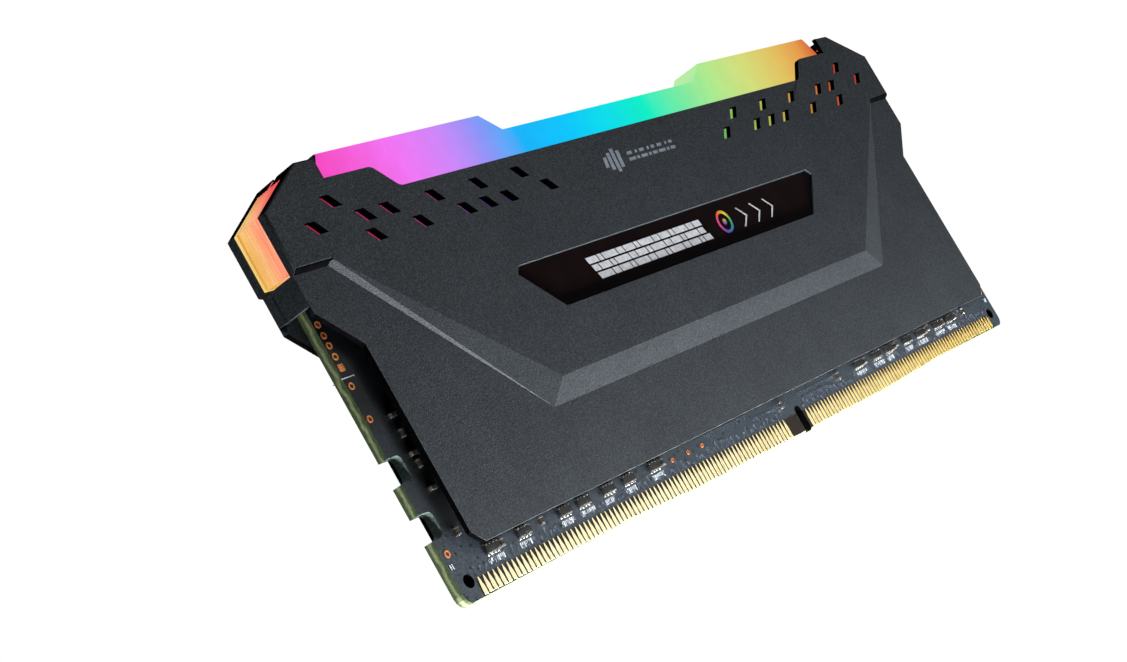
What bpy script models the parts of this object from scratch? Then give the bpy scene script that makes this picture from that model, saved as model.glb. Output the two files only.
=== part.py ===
"""A tall desktop memory module: a 288-contact board between two heat spreaders, under a lit bar.

Units are metres. X runs along the module, Y through its thickness with the front at -Y, and Z up
from the lowest point of the contact edge. The origin is the bottom centre. The two spreaders are
one design, used twice: the rear one is the front one turned half a turn about Z.
"""

import math

import bmesh
import bpy
from mathutils import Matrix, Vector

# Circuit board, from the outline that every module of this standard shares below the latch notches
BOARD_LENGTH = 0.13335
BOARD_TOP = 0.0380
BOARD_THICKNESS = 0.0014
BOARD_CORNER = 0.0013
EDGE_STEP = 0.0005  # how much higher the contact edge is near its two ends
EDGE_RAMP_LEFT = (-0.0360, -0.0200)
EDGE_RAMP_RIGHT = (0.0285, 0.0460)
KEY_NOTCH_X = 0.005575
KEY_NOTCH_WIDTH = 0.0015
KEY_NOTCH_TOP = 0.0036
LATCH_NOTCH_BOTTOMS = (0.0080, 0.0146)
LATCH_NOTCH_HEIGHT = 0.0030
LATCH_NOTCH_DEPTH = 0.0020
LATCH_NOTCH_CORNER = 0.00075
CORNER_HOLE_INSET = 0.00185
CORNER_HOLE_Z = 0.00275
CORNER_HOLE_RADIUS = 0.00078

# Contacts: first and last contact centres of each row, measured along X from the board's centre
CONTACT_ROWS = {"left": (-0.063325, 0.001275), "right": (0.007225, 0.063325)}
CONTACT_HALF_WIDTH = 0.0003
CONTACT_TOP = 0.00255
CONTACT_MARGIN = 0.00020
CONTACT_THICKNESS = 0.00004

# Heat spreaders
SPREADER_WALL = 0.0007
PLATEAU_Y = -0.0033
LOWER_FACE_Y = -0.00265
HALF_LENGTH = 0.06775
HORN_TOP = 0.0502
HORN_INNER_X = 0.0567
HORN_OUTER_X = 0.0598
SHOULDER_Z = 0.0456
STEP_TOP = 0.0389
STEP_BOTTOM = 0.0385
CUTOUT_HIGH = 0.0477
CUTOUT_LOW = 0.0447
CUTOUT_SLOPE_X = (0.0459, 0.0488)
CUTOUT_FILLET = 0.0014
CHEVRON_TOP_X = 0.0619
CHEVRON_INNER = (0.0373, 0.0182)
CHEVRON_OUTER = (0.0406, 0.0154)
CHEVRON_END_X = 0.0623
LOWER_SIDE_X = 0.0631
LOWER_CORNER_Z = 0.0340
LOWER_WAIST_Z = 0.0292
LOWER_CHAMFER = 0.0015
LOWER_EDGE = 0.0055
END_WALL_Y = -0.00215
TAB_START_X = 0.0616
TAB_EDGE_Y = -0.0003
FLANGE_BOTTOM = 0.0350
WIDE_FLANGE_Y = 0.0012
NARROW_FLANGE_Y = -0.0015

# Light holes: a grid of slanted slots, given as steps along X in each row, lowest row first
HOLE_FIRST_X = 0.0210
HOLE_PITCH_X = 0.00407
HOLE_FIRST_Z = 0.0401
HOLE_PITCH_Z = 0.00246
HOLE_ROWS = ((0, 2, 3, 4, 6, 8), (1, 3, 5, 7, 8, 10), (9,))
HOLE_WIDTH = 0.00165
HOLE_HEIGHT = 0.00155
HOLE_SLANT = 0.00130

# Badge plates in their pockets
BADGE_TOP_Z = 0.0318
BADGE_BOTTOM_Z = 0.02555
BADGE_TOP_HALF = 0.0352
BADGE_BOTTOM_HALF = 0.0299
BADGE_CORNER = 0.0009
POCKET_DEPTH = 0.00045
BADGE_THICKNESS = 0.00015
BADGE_CLEARANCE = 0.00012

# Light bar and the lit pieces at the two ends
BAR_HALF_THICKNESS = 0.0023
BAR_BOTTOM = 0.0385
BAR_TOP = 0.0510
BAR_MIDDLE_TOP = 0.0486
BAR_HALF_LENGTH = 0.0567
BAR_SLOPE_X = (0.0222, 0.0252)
BAR_END_CUT = (0.0017, 0.0026)  # along X and down from the top
BAR_EDGE = 0.0004
DIFFUSER_HALF_WIDTH = 0.00205
DIFFUSER_THICKNESS = 0.0015
DIFFUSER_BOTTOM = 0.0394
DIFFUSER_TOP_X = 0.0620
BRACKET_INNER_X = 0.0570
BRACKET_BOTTOM = 0.0397
BRACKET_HALF_THICKNESS = 0.0021
BRACKET_GAP = 0.00015

# Parts on the board
PART_GAP = 0.00005  # between a part and what it sits on
CHIP_SIZE = (0.0075, 0.0009, 0.0110)
CHIP_CENTRES_X = (0.0128, 0.0272, 0.0416, 0.0560)
CHIP_CENTRE_Z = 0.0155
PAD_HALF_LENGTH = 0.0603
PAD_Z = (0.0096, 0.0214)
PAD_THICKNESS = 0.0002
LED_COUNT = 10
LED_FIRST_X = -0.0495
LED_PITCH = 0.0110
LED_SIZE = (0.0030, 0.0008, 0.0012)
LED_CENTRE_Z = 0.0372
ARRAY_SIZE = (0.0024, 0.00045, 0.0011)
ARRAY_CENTRES_X = (
    -0.0594, -0.0537, -0.0460, -0.0423, -0.0373, -0.0331, -0.0276,
    0.0240, 0.0293, 0.0330, 0.0387, 0.0428, 0.0485, 0.0525,
)
ARRAY_CENTRE_Z = 0.0048
LABEL_THICKNESS = 0.00012
LABEL_HALF_LENGTH = 0.0260
LABEL_Z = (0.0075, 0.0140)

ARC_STEPS = 4
ROUND_STEPS = 16
MERGE = 1e-6
HALF_BOARD = BOARD_THICKNESS / 2
HALF_BOARD_LENGTH = BOARD_LENGTH / 2
HALF_TURN = math.pi

# name: colour, roughness, metallic
FINISHES = {
    "spreader_coat": ((0.045, 0.048, 0.052), 0.55, 0.3),
    "board_mask": ((0.012, 0.018, 0.028), 0.45, 0.0),
    "contact_gold": ((0.83, 0.62, 0.25), 0.28, 1.0),
    "chip_moulding": ((0.02, 0.02, 0.022), 0.6, 0.0),
    "led_package": ((0.85, 0.85, 0.82), 0.4, 0.0),
    "resistor_body": ((0.015, 0.015, 0.018), 0.5, 0.0),
    "thermal_pad": ((0.45, 0.47, 0.5), 0.85, 0.0),
    "light_bar": ((0.75, 0.55, 0.85), 0.35, 0.0),
    "end_diffuser": ((0.95, 0.6, 0.35), 0.35, 0.0),
    "bracket_plastic": ((0.01, 0.01, 0.01), 0.3, 0.0),
    "badge_plate": ((0.012, 0.012, 0.014), 0.15, 0.0),
    "label_film": ((0.7, 0.7, 0.72), 0.5, 0.0),
}


def clear_scene():
    for obj in list(bpy.data.objects):
        bpy.data.objects.remove(obj, do_unlink=True)


def new_collection(name):
    collection = bpy.data.collections.new(name)
    bpy.context.scene.collection.children.link(collection)
    return collection


def new_material(name):
    colour, roughness, metallic = FINISHES[name]
    material = bpy.data.materials.new(name)
    material.use_nodes = True
    shader = material.node_tree.nodes["Principled BSDF"]
    shader.inputs["Base Color"].default_value = (*colour, 1.0)
    shader.inputs["Roughness"].default_value = roughness
    shader.inputs["Metallic"].default_value = metallic
    return material


def add_object(name, mesh, finish):
    obj = bpy.data.objects.new(name, mesh)
    PARTS.objects.link(obj)
    mesh.materials.append(MATERIALS[finish])
    return obj


def corner_arc(before, corner, after, radius):
    """Points of the arc that rounds one corner of an outline."""
    corner = Vector(corner)
    back = (Vector(before) - corner).normalized()
    ahead = (Vector(after) - corner).normalized()
    half = back.angle(ahead) / 2
    centre = corner + (back + ahead).normalized() * (radius / math.sin(half))
    start = corner + back * (radius / math.tan(half)) - centre
    turn = start.angle_signed(corner + ahead * (radius / math.tan(half)) - centre)
    steps = range(ARC_STEPS + 1)
    return [centre + Matrix.Rotation(-turn * i / ARC_STEPS, 2) @ start for i in steps]


def outline(corners):
    """Corners are (x, z) or (x, z, radius); the result is a list of 2D points."""
    points = []
    for i, corner in enumerate(corners):
        if len(corner) == 2:
            points.append(Vector(corner))
            continue
        before = corners[i - 1][:2]
        after = corners[(i + 1) % len(corners)][:2]
        points.extend(corner_arc(before, corner[:2], after, corner[2]))
    return points


def circle(x, z, radius):
    angles = [2 * math.pi * i / ROUND_STEPS for i in range(ROUND_STEPS)]
    return [Vector((x + radius * math.cos(a), z + radius * math.sin(a))) for a in angles]


def flat_mesh(name, loops, y_low, y_high):
    """A flat outline in XZ, with any inner loops as holes, from y_low to y_high, as a mesh."""
    curve = bpy.data.curves.new(name, "CURVE")
    curve.dimensions = "2D"
    curve.fill_mode = "BOTH"
    curve.extrude = (y_high - y_low) / 2
    for loop in loops:
        spline = curve.splines.new("POLY")
        spline.points.add(len(loop) - 1)
        spline.use_cyclic_u = True
        for point, place in zip(spline.points, loop):
            point.co = (place[0], place[1], 0.0, 1.0)
    guide = bpy.data.objects.new(name + "_outline", curve)
    bpy.context.scene.collection.objects.link(guide)
    graph = bpy.context.evaluated_depsgraph_get()
    mesh = bpy.data.meshes.new_from_object(guide.evaluated_get(graph))
    bpy.data.objects.remove(guide, do_unlink=True)
    middle = Matrix.Translation((0.0, (y_low + y_high) / 2, 0.0))
    mesh.transform(middle @ Matrix.Rotation(math.pi / 2, 4, "X"))
    bm = bmesh.new()
    bm.from_mesh(mesh)
    bmesh.ops.remove_doubles(bm, verts=bm.verts, dist=MERGE)
    bmesh.ops.recalc_face_normals(bm, faces=bm.faces)
    bm.to_mesh(mesh)
    bm.free()
    return mesh


def flat_piece(name, loops, y_low, y_high, finish):
    return add_object(name, flat_mesh(name, loops, y_low, y_high), finish)


def block(name, centre, size, finish):
    bm = bmesh.new()
    bmesh.ops.create_cube(bm, size=1.0, matrix=Matrix.Diagonal((*size, 1.0)))
    mesh = bpy.data.meshes.new(name)
    bm.to_mesh(mesh)
    bm.free()
    obj = add_object(name, mesh, finish)
    obj.location = centre
    return obj


def cutter(name, mesh):
    obj = bpy.data.objects.new(name, mesh)
    CUTTERS.objects.link(obj)
    obj.hide_render = True
    obj.display_type = "WIRE"
    return obj


def cut(obj, tool):
    modifier = obj.modifiers.new(tool.name, "BOOLEAN")
    modifier.operation = "DIFFERENCE"
    modifier.object = tool


def contact_edge(x):
    """Height of the board's lower edge at x, raised near both ends for an easy start in the socket."""
    ramps = ((x, EDGE_RAMP_LEFT[1], EDGE_RAMP_LEFT[0]), (x, EDGE_RAMP_RIGHT[0], EDGE_RAMP_RIGHT[1]))
    shares = [(at - low) / (high - low) for at, low, high in ramps]
    return EDGE_STEP * max(0.0, min(1.0, max(shares)))


def lower_edge_points(start, end):
    """The contact edge from start to end, as the points where its slope changes."""
    bends = [x for x in (*EDGE_RAMP_LEFT, *EDGE_RAMP_RIGHT) if start < x < end]
    return [(x, contact_edge(x)) for x in (start, *bends, end)]


def latch_notches(side):
    """The two latch notches of one end, as outline corners running up the edge."""
    corners = []
    edge = side * HALF_BOARD_LENGTH
    inner = side * (HALF_BOARD_LENGTH - LATCH_NOTCH_DEPTH)
    for low in LATCH_NOTCH_BOTTOMS:
        high = low + LATCH_NOTCH_HEIGHT
        corners += [(edge, low), (inner, low, LATCH_NOTCH_CORNER)]
        corners += [(inner, high, LATCH_NOTCH_CORNER), (edge, high)]
    return corners


def build_board():
    notch_left = KEY_NOTCH_X - KEY_NOTCH_WIDTH / 2
    notch_right = KEY_NOTCH_X + KEY_NOTCH_WIDTH / 2
    notch_round = KEY_NOTCH_WIDTH * 0.49
    corners = [(-HALF_BOARD_LENGTH, EDGE_STEP, BOARD_CORNER)]
    corners += lower_edge_points(-HALF_BOARD_LENGTH, notch_left)[1:]
    corners += [(notch_left, KEY_NOTCH_TOP, notch_round), (notch_right, KEY_NOTCH_TOP, notch_round)]
    corners += lower_edge_points(notch_right, HALF_BOARD_LENGTH)[:-1]
    corners += [(HALF_BOARD_LENGTH, EDGE_STEP, BOARD_CORNER)]
    corners += latch_notches(1)
    corners += [(HALF_BOARD_LENGTH, BOARD_TOP), (-HALF_BOARD_LENGTH, BOARD_TOP)]
    corners += reversed(latch_notches(-1))
    hole_x = HALF_BOARD_LENGTH - CORNER_HOLE_INSET
    holes = [circle(side * hole_x, CORNER_HOLE_Z, CORNER_HOLE_RADIUS) for side in (-1, 1)]
    flat_piece("circuit_board", [outline(corners), *holes], -HALF_BOARD, HALF_BOARD, "board_mask")


def build_contacts():
    """Each row of contacts is one plated strip."""
    for row, (first, last) in CONTACT_ROWS.items():
        left = first - CONTACT_HALF_WIDTH
        right = last + CONTACT_HALF_WIDTH
        strip = [(x, z + CONTACT_MARGIN) for x, z in lower_edge_points(left, right)]
        strip += [(right, CONTACT_TOP), (left, CONTACT_TOP)]
        near = HALF_BOARD + 0.00001
        far = near + CONTACT_THICKNESS
        flat_piece("contacts_front_" + row, [strip], -far, -near, "contact_gold")
        flat_piece("contacts_rear_" + row, [strip], near, far, "contact_gold")


def cutout_corners(side):
    """The upper edge of a spreader, from its centre to the horn, on one side."""
    return [
        (0.0, CUTOUT_LOW),
        (side * CUTOUT_SLOPE_X[0], CUTOUT_LOW, CUTOUT_FILLET),
        (side * CUTOUT_SLOPE_X[1], CUTOUT_HIGH, CUTOUT_FILLET),
        (side * HORN_INNER_X, CUTOUT_HIGH),
        (side * HORN_INNER_X, HORN_TOP),
        (side * HORN_OUTER_X, HORN_TOP),
        (side * TAB_START_X, shoulder_height(TAB_START_X)),
        (side * HALF_LENGTH, SHOULDER_Z),
    ]


def shoulder_height(x):
    """Height of the sloping shoulder at distance x from the centre."""
    share = (HALF_LENGTH - x) / (HALF_LENGTH - HORN_OUTER_X)
    return SHOULDER_Z + share * (HORN_TOP - SHOULDER_Z)


def spreader_sheet(side, flange_y):
    """Faces of one half of the sheet's outer surface, as lists of (x, y, z)."""
    high = PLATEAU_Y
    low = LOWER_FACE_Y
    end = side * HALF_LENGTH
    inner = (side * CHEVRON_INNER[0], CHEVRON_INNER[1])
    outer = (side * CHEVRON_OUTER[0], CHEVRON_OUTER[1])
    tip = (side * CHEVRON_TOP_X, STEP_TOP)
    foot = (side * CHEVRON_END_X, STEP_BOTTOM)
    top = outline([*cutout_corners(side), (0.0, SHOULDER_Z)])[:-1]
    plateau = [(x, high, z) for x, z in top]
    plateau += [(end, high, STEP_TOP), (tip[0], high, tip[1]), (inner[0], high, inner[1])]
    plateau += [(0.0, high, inner[1])]
    lower = [(0.0, low, outer[1]), (outer[0], low, outer[1]), (foot[0], low, foot[1])]
    lower += [(end, low, STEP_BOTTOM), (end, low, FLANGE_BOTTOM), (end, low, LOWER_CORNER_Z)]
    lower += [(side * LOWER_SIDE_X, low, LOWER_WAIST_Z)]
    lower += [(side * LOWER_SIDE_X, low, LOWER_EDGE + LOWER_CHAMFER)]
    lower += [(side * (LOWER_SIDE_X - LOWER_CHAMFER), low, LOWER_EDGE), (0.0, low, LOWER_EDGE)]
    tab = (side * TAB_START_X, shoulder_height(TAB_START_X))
    horn = (side * HORN_OUTER_X, HORN_TOP)
    inner_at = (inner[0], high, inner[1])
    outer_at = (outer[0], low, outer[1])
    tip_at = (tip[0], high, tip[1])
    foot_at = (foot[0], low, foot[1])
    step_high = (end, high, STEP_TOP)
    step_low = (end, low, STEP_BOTTOM)
    wall_high = (end, END_WALL_Y, STEP_TOP)
    wall_low = (end, END_WALL_Y, STEP_BOTTOM)
    shoulder = (end, high, SHOULDER_Z)
    shoulder_wall = (end, END_WALL_Y, SHOULDER_Z)
    tab_at = (tab[0], high, tab[1])
    tab_wall = (tab[0], END_WALL_Y, tab[1])
    base_facet = [(0.0, high, inner[1]), inner_at, outer_at, (0.0, low, outer[1])]
    arm_facet = [inner_at, tip_at, foot_at, outer_at]
    step = [tip_at, step_high, step_low, foot_at]
    end_step = [step_high, wall_high, wall_low, step_low]
    end_wall = [shoulder, shoulder_wall, wall_high, step_high]
    sloping_wall = [tab_at, tab_wall, shoulder_wall, shoulder]
    horn_tab = [(horn[0], high, horn[1]), (horn[0], TAB_EDGE_Y, horn[1])]
    horn_tab += [(tab[0], TAB_EDGE_Y, tab[1]), tab_wall, tab_at]
    flange = [step_low, wall_low, (end, flange_y, STEP_BOTTOM)]
    flange += [(end, flange_y, FLANGE_BOTTOM), (end, low, FLANGE_BOTTOM)]
    faces = [plateau, lower, base_facet, arm_facet, step]
    faces += [end_step, end_wall, sloping_wall, horn_tab, flange]
    return faces


def hole_centres():
    """Centres of the light holes on one side of the spreader."""
    for row, steps in enumerate(HOLE_ROWS):
        for step in steps:
            yield HOLE_FIRST_X + step * HOLE_PITCH_X, HOLE_FIRST_Z + row * HOLE_PITCH_Z


def light_hole_cutter():
    """One prism for each light hole; the slots lean towards the middle of the module."""
    bm = bmesh.new()
    depth = 3 * SPREADER_WALL
    for side in (-1, 1):
        for x, z in hole_centres():
            size = Matrix.Diagonal((HOLE_WIDTH, HOLE_HEIGHT, depth, 1.0))
            upright = Matrix.Rotation(math.pi / 2, 4, "X")
            skew = Matrix.Identity(4)
            skew[0][1] = side * HOLE_SLANT / HOLE_HEIGHT
            place = Matrix.Translation((side * x, PLATEAU_Y, z))
            bmesh.ops.create_cube(bm, size=1.0, matrix=place @ upright @ skew @ size)
    mesh = bpy.data.meshes.new("light_holes")
    bm.to_mesh(mesh)
    bm.free()
    return cutter("light_holes", mesh)


def badge_outline(clearance):
    """The badge is wider at the top, with both upper tips cut off."""
    top = BADGE_TOP_Z - clearance
    bottom = BADGE_BOTTOM_Z + clearance
    wide = BADGE_TOP_HALF - clearance
    narrow = BADGE_BOTTOM_HALF - clearance
    half = [(narrow, bottom), (wide, top - BADGE_CORNER), (wide - BADGE_CORNER, top)]
    return half + [(-x, z) for x, z in reversed(half)]


def sheet_mesh():
    bm = bmesh.new()
    for side, flange_y in ((-1, WIDE_FLANGE_Y), (1, NARROW_FLANGE_Y)):
        for face in spreader_sheet(side, flange_y):
            bm.faces.new([bm.verts.new(place) for place in face])
    bmesh.ops.remove_doubles(bm, verts=bm.verts, dist=MERGE)
    bmesh.ops.recalc_face_normals(bm, faces=bm.faces)
    largest = max(bm.faces, key=lambda face: face.calc_area())
    if largest.normal.y > 0:
        bmesh.ops.reverse_faces(bm, faces=bm.faces)
    mesh = bpy.data.meshes.new("spreader_sheet")
    bm.to_mesh(mesh)
    bm.free()
    return mesh


def build_spreaders():
    """A folded sheet with a wall thickness, its light holes and its badge pocket; used twice."""
    front = add_object("heat_spreader_front", sheet_mesh(), "spreader_coat")
    wall = front.modifiers.new("wall", "SOLIDIFY")
    wall.thickness = SPREADER_WALL
    wall.offset = -1.0
    wall.solidify_mode = "NON_MANIFOLD"
    wall.nonmanifold_thickness_mode = "CONSTRAINTS"
    wall.nonmanifold_merge_threshold = MERGE
    cut(front, light_hole_cutter())
    pocket = flat_mesh("badge_pocket", [badge_outline(0.0)], 2 * PLATEAU_Y, PLATEAU_Y + POCKET_DEPTH)
    cut(front, cutter("badge_pocket", pocket))
    graph = bpy.context.evaluated_depsgraph_get()
    finished = bpy.data.meshes.new_from_object(front.evaluated_get(graph))
    rear = bpy.data.objects.new("heat_spreader_rear", finished)
    PARTS.objects.link(rear)
    rear.rotation_euler.z = HALF_TURN


def build_badges():
    face = PLATEAU_Y + POCKET_DEPTH - PART_GAP
    shape = badge_outline(BADGE_CLEARANCE)
    plate = flat_piece("badge_front", [shape], face - BADGE_THICKNESS, face, "badge_plate")
    rear = bpy.data.objects.new("badge_rear", plate.data)
    PARTS.objects.link(rear)
    rear.rotation_euler.z = HALF_TURN


def build_label():
    """A plain blank label on the rear spreader's lower face."""
    low = -LOWER_FACE_Y + PART_GAP
    corners = [(-LABEL_HALF_LENGTH, LABEL_Z[0]), (LABEL_HALF_LENGTH, LABEL_Z[0])]
    corners += [(LABEL_HALF_LENGTH, LABEL_Z[1]), (-LABEL_HALF_LENGTH, LABEL_Z[1])]
    flat_piece("label_rear", [corners], low, low + LABEL_THICKNESS, "label_film")


def build_light_bar():
    """Low in the middle and high over both ends, whose outer corners are cut to a slant."""
    corners = [
        (-BAR_HALF_LENGTH, BAR_BOTTOM),
        (BAR_HALF_LENGTH, BAR_BOTTOM),
        (BAR_HALF_LENGTH, BAR_TOP - BAR_END_CUT[1]),
        (BAR_HALF_LENGTH - BAR_END_CUT[0], BAR_TOP),
        (BAR_SLOPE_X[1], BAR_TOP),
        (BAR_SLOPE_X[0], BAR_MIDDLE_TOP),
        (-BAR_SLOPE_X[0], BAR_MIDDLE_TOP),
        (-BAR_SLOPE_X[1], BAR_TOP),
        (-BAR_HALF_LENGTH + BAR_END_CUT[0], BAR_TOP),
        (-BAR_HALF_LENGTH, BAR_TOP - BAR_END_CUT[1]),
    ]
    half = BAR_HALF_THICKNESS
    bar = flat_piece("light_bar", [corners], -half, half, "light_bar")
    edges = bar.modifiers.new("edges", "BEVEL")
    edges.width = BAR_EDGE
    edges.segments = 2
    edges.limit_method = "ANGLE"


def inner_shoulder(inset):
    """Corner and top point of a line that runs inside the end wall and shoulder at a distance."""
    run = Vector((HALF_LENGTH - HORN_OUTER_X, SHOULDER_Z - HORN_TOP)).normalized()
    across = Vector((run.y, -run.x))
    lean = Vector((-1.0, 0.0)).angle(across) / 2
    corner = Vector((HALF_LENGTH - inset, SHOULDER_Z - inset * math.tan(lean)))
    top = Vector((DIFFUSER_TOP_X, shoulder_height(DIFFUSER_TOP_X))) + across * inset
    return corner, top


def build_end_pieces():
    """At each end a lit strip follows the end wall and the shoulder, over a black bracket."""
    corner, top = inner_shoulder(DIFFUSER_THICKNESS)
    back, back_top = inner_shoulder(DIFFUSER_THICKNESS + BRACKET_GAP)
    strip = [
        (HALF_LENGTH, DIFFUSER_BOTTOM),
        (HALF_LENGTH, SHOULDER_Z),
        (DIFFUSER_TOP_X, shoulder_height(DIFFUSER_TOP_X)),
        tuple(top),
        tuple(corner),
        (corner.x, DIFFUSER_BOTTOM),
    ]
    bracket = [
        (BRACKET_INNER_X, BRACKET_BOTTOM),
        (back.x, BRACKET_BOTTOM),
        tuple(back),
        tuple(back_top),
        (BRACKET_INNER_X, back_top.y + (back_top.x - BRACKET_INNER_X) * 0.3),
    ]
    wide = DIFFUSER_HALF_WIDTH
    deep = BRACKET_HALF_THICKNESS
    for side, name in ((-1, "left"), (1, "right")):
        lit = [(side * x, z) for x, z in strip]
        held = [(side * x, z) for x, z in bracket]
        flat_piece("end_diffuser_" + name, [lit], -wide, wide, "end_diffuser")
        flat_piece("end_bracket_" + name, [held], -deep, deep, "bracket_plastic")


def build_chips():
    near = HALF_BOARD + PART_GAP + CHIP_SIZE[1] / 2
    places = sorted([-x for x in CHIP_CENTRES_X] + list(CHIP_CENTRES_X))
    for i, x in enumerate(places, 1):
        block(f"memory_chip_front_{i}", (x, -near, CHIP_CENTRE_Z), CHIP_SIZE, "chip_moulding")
        block(f"memory_chip_rear_{i}", (x, near, CHIP_CENTRE_Z), CHIP_SIZE, "chip_moulding")


def build_pads():
    near = HALF_BOARD + CHIP_SIZE[1] + 2 * PART_GAP
    middle = near + PAD_THICKNESS / 2
    size = (2 * PAD_HALF_LENGTH, PAD_THICKNESS, PAD_Z[1] - PAD_Z[0])
    height = (PAD_Z[0] + PAD_Z[1]) / 2
    block("thermal_pad_front", (0.0, -middle, height), size, "thermal_pad")
    block("thermal_pad_rear", (0.0, middle, height), size, "thermal_pad")


def on_board(name, x, z, size, finish, face=-1):
    y = face * (HALF_BOARD + PART_GAP + size[1] / 2)
    block(name, (x, y, z), size, finish)


def build_small_parts():
    on_board("spd_chip", 0.0, 0.0140, (0.0030, 0.0008, 0.0020), "chip_moulding")
    on_board("lighting_controller", 0.0, 0.0300, (0.0050, 0.0009, 0.0050), "chip_moulding")
    for i in range(LED_COUNT):
        face = -1 if i % 2 == 0 else 1
        on_board(f"led_{i + 1}", LED_FIRST_X + i * LED_PITCH, LED_CENTRE_Z, LED_SIZE, "led_package", face)
    for i, x in enumerate(ARRAY_CENTRES_X, 1):
        on_board(f"resistor_array_{i}", x, ARRAY_CENTRE_Z, ARRAY_SIZE, "resistor_body")


clear_scene()
PARTS = new_collection("memory_module")
CUTTERS = new_collection("cutters")
MATERIALS = {finish: new_material(finish) for finish in FINISHES}
build_board()
build_contacts()
build_chips()
build_small_parts()
build_pads()
build_spreaders()
build_badges()
build_label()
build_light_bar()
build_end_pieces()
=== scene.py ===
"""Looks of a tall desktop memory module: a board with gold contacts between two folded heat spreaders,
a lit bar along the top and a lit strip at each end.

Metres. X runs along the module, the front faces -Y, and Z is up from the contact edge.
"""

import math
import random

import bmesh
import bpy
from mathutils import Matrix, Vector


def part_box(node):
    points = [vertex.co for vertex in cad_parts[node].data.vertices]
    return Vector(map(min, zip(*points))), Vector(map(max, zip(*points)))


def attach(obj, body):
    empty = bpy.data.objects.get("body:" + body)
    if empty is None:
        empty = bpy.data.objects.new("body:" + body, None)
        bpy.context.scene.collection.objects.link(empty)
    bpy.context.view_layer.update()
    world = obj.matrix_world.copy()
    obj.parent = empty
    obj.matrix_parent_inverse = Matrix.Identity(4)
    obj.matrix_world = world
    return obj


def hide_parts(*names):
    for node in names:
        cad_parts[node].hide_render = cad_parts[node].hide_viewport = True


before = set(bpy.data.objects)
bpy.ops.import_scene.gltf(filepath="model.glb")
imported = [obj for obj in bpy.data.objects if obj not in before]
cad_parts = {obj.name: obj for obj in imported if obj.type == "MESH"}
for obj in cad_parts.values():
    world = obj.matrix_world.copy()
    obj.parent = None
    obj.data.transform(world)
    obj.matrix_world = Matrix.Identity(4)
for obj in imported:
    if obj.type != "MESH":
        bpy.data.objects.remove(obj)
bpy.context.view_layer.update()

MM = 0.001
FRONT, REAR = -1, 1
LEFT, RIGHT = -1, 1
FACES = ((FRONT, "front"), (REAR, "rear"))
ENDS = ((LEFT, "left"), (RIGHT, "right"))

WELD = 1e-6
FLAT_WIDTH = 0.35 * MM  # faces wider than this are shaded flat, so that only the bends look round
SINK = 0.004 * MM  # how deep a raised mark starts below the surface it lies on

# Board and contacts
BOARD_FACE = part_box("circuit_board")[1].y
BOARD_CHAMFER = 0.22 * MM
CONTACT_PITCH = 0.85 * MM
CONTACT_WIDTH = 0.60 * MM
CONTACT_TIP_WIDTH = 0.13 * MM
CONTACT_START = 0.26 * MM
CONTACT_WAIST_Z = 1.55 * MM
CONTACT_TIP_Z = 2.75 * MM
CONTACT_SHOULDER = (0.72, 0.45 * MM)  # share of the half width, and rise above the waist
CONTACT_SINK, CONTACT_RAISE = 0.005 * MM, 0.045 * MM
CONTACT_EDGE_STEP = 0.5 * MM
CONTACT_RAMPS = ((-20.0 * MM, -36.0 * MM), (28.5 * MM, 46.0 * MM))
BAND_TOP = 2.70 * MM  # top of the bare band round the contacts
BAND_REACH = 63.85 * MM
STRIP_START = 60.0 * MM  # where the board shows beside the spreaders

# Regions of the board's cut edge, to tell the notches and holes from the outline
LATCH_HEIGHTS = (6 * MM, 20 * MM)
LATCH_START = 60 * MM
LATCH_EDGE = 0.3 * MM
KEY_SPAN = (4.6 * MM, 6.6 * MM)
KEY_BOTTOM = 0.3 * MM
CORNER_HOLE_SPAN = (64.0 * MM, 66.0 * MM)
CORNER_HOLE_HEIGHTS = (1.5 * MM, 5 * MM)

# Tracks and plated holes
TRACK_WIDTH, TRACK_RAISE = 0.11 * MM, 0.02 * MM
TRACK_SEEDS = {FRONT: 11, REAR: 12}
TRACK_JOGS = (-0.35, -0.2, 0.0, 0.2, 0.35)
TRACK_RISE = (0.25, 1.1)
TRACK_RING = (0.09 * MM, 0.2 * MM)
MEANDERS = ((-4.5, 3.9, 4.35), (7.2, 17.0, 4.75), (8.0, 15.0, 4.0), (-15.5, -5.5, 5.2))  # start, stop, height
MEANDER_STEP, MEANDER_SWING, MEANDER_WIDTH = 0.32 * MM, 0.24 * MM, 0.09 * MM
VIA_RAISE = 0.03 * MM
VIA_RADII = (0.24 * MM, 0.43 * MM)
VIA_PAD = 0.84 * MM
# Plated holes near each end of the board: distance from the middle, height, and whether the pad is square
VIAS = (
    (65.7, 6.2, False), (66.0, 22.1, False), (66.0, 26.0, False), (66.0, 28.2, True), (66.0, 29.5, False),
    (66.0, 30.8, False), (66.0, 32.0, False), (66.0, 33.3, False),
)
SMALL_VIA_RADII = (0.15 * MM, 0.3 * MM)
SMALL_VIAS_X = (-23.5, -20.0, -16.8)
SMALL_VIAS_Z = 4.45 * MM

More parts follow.
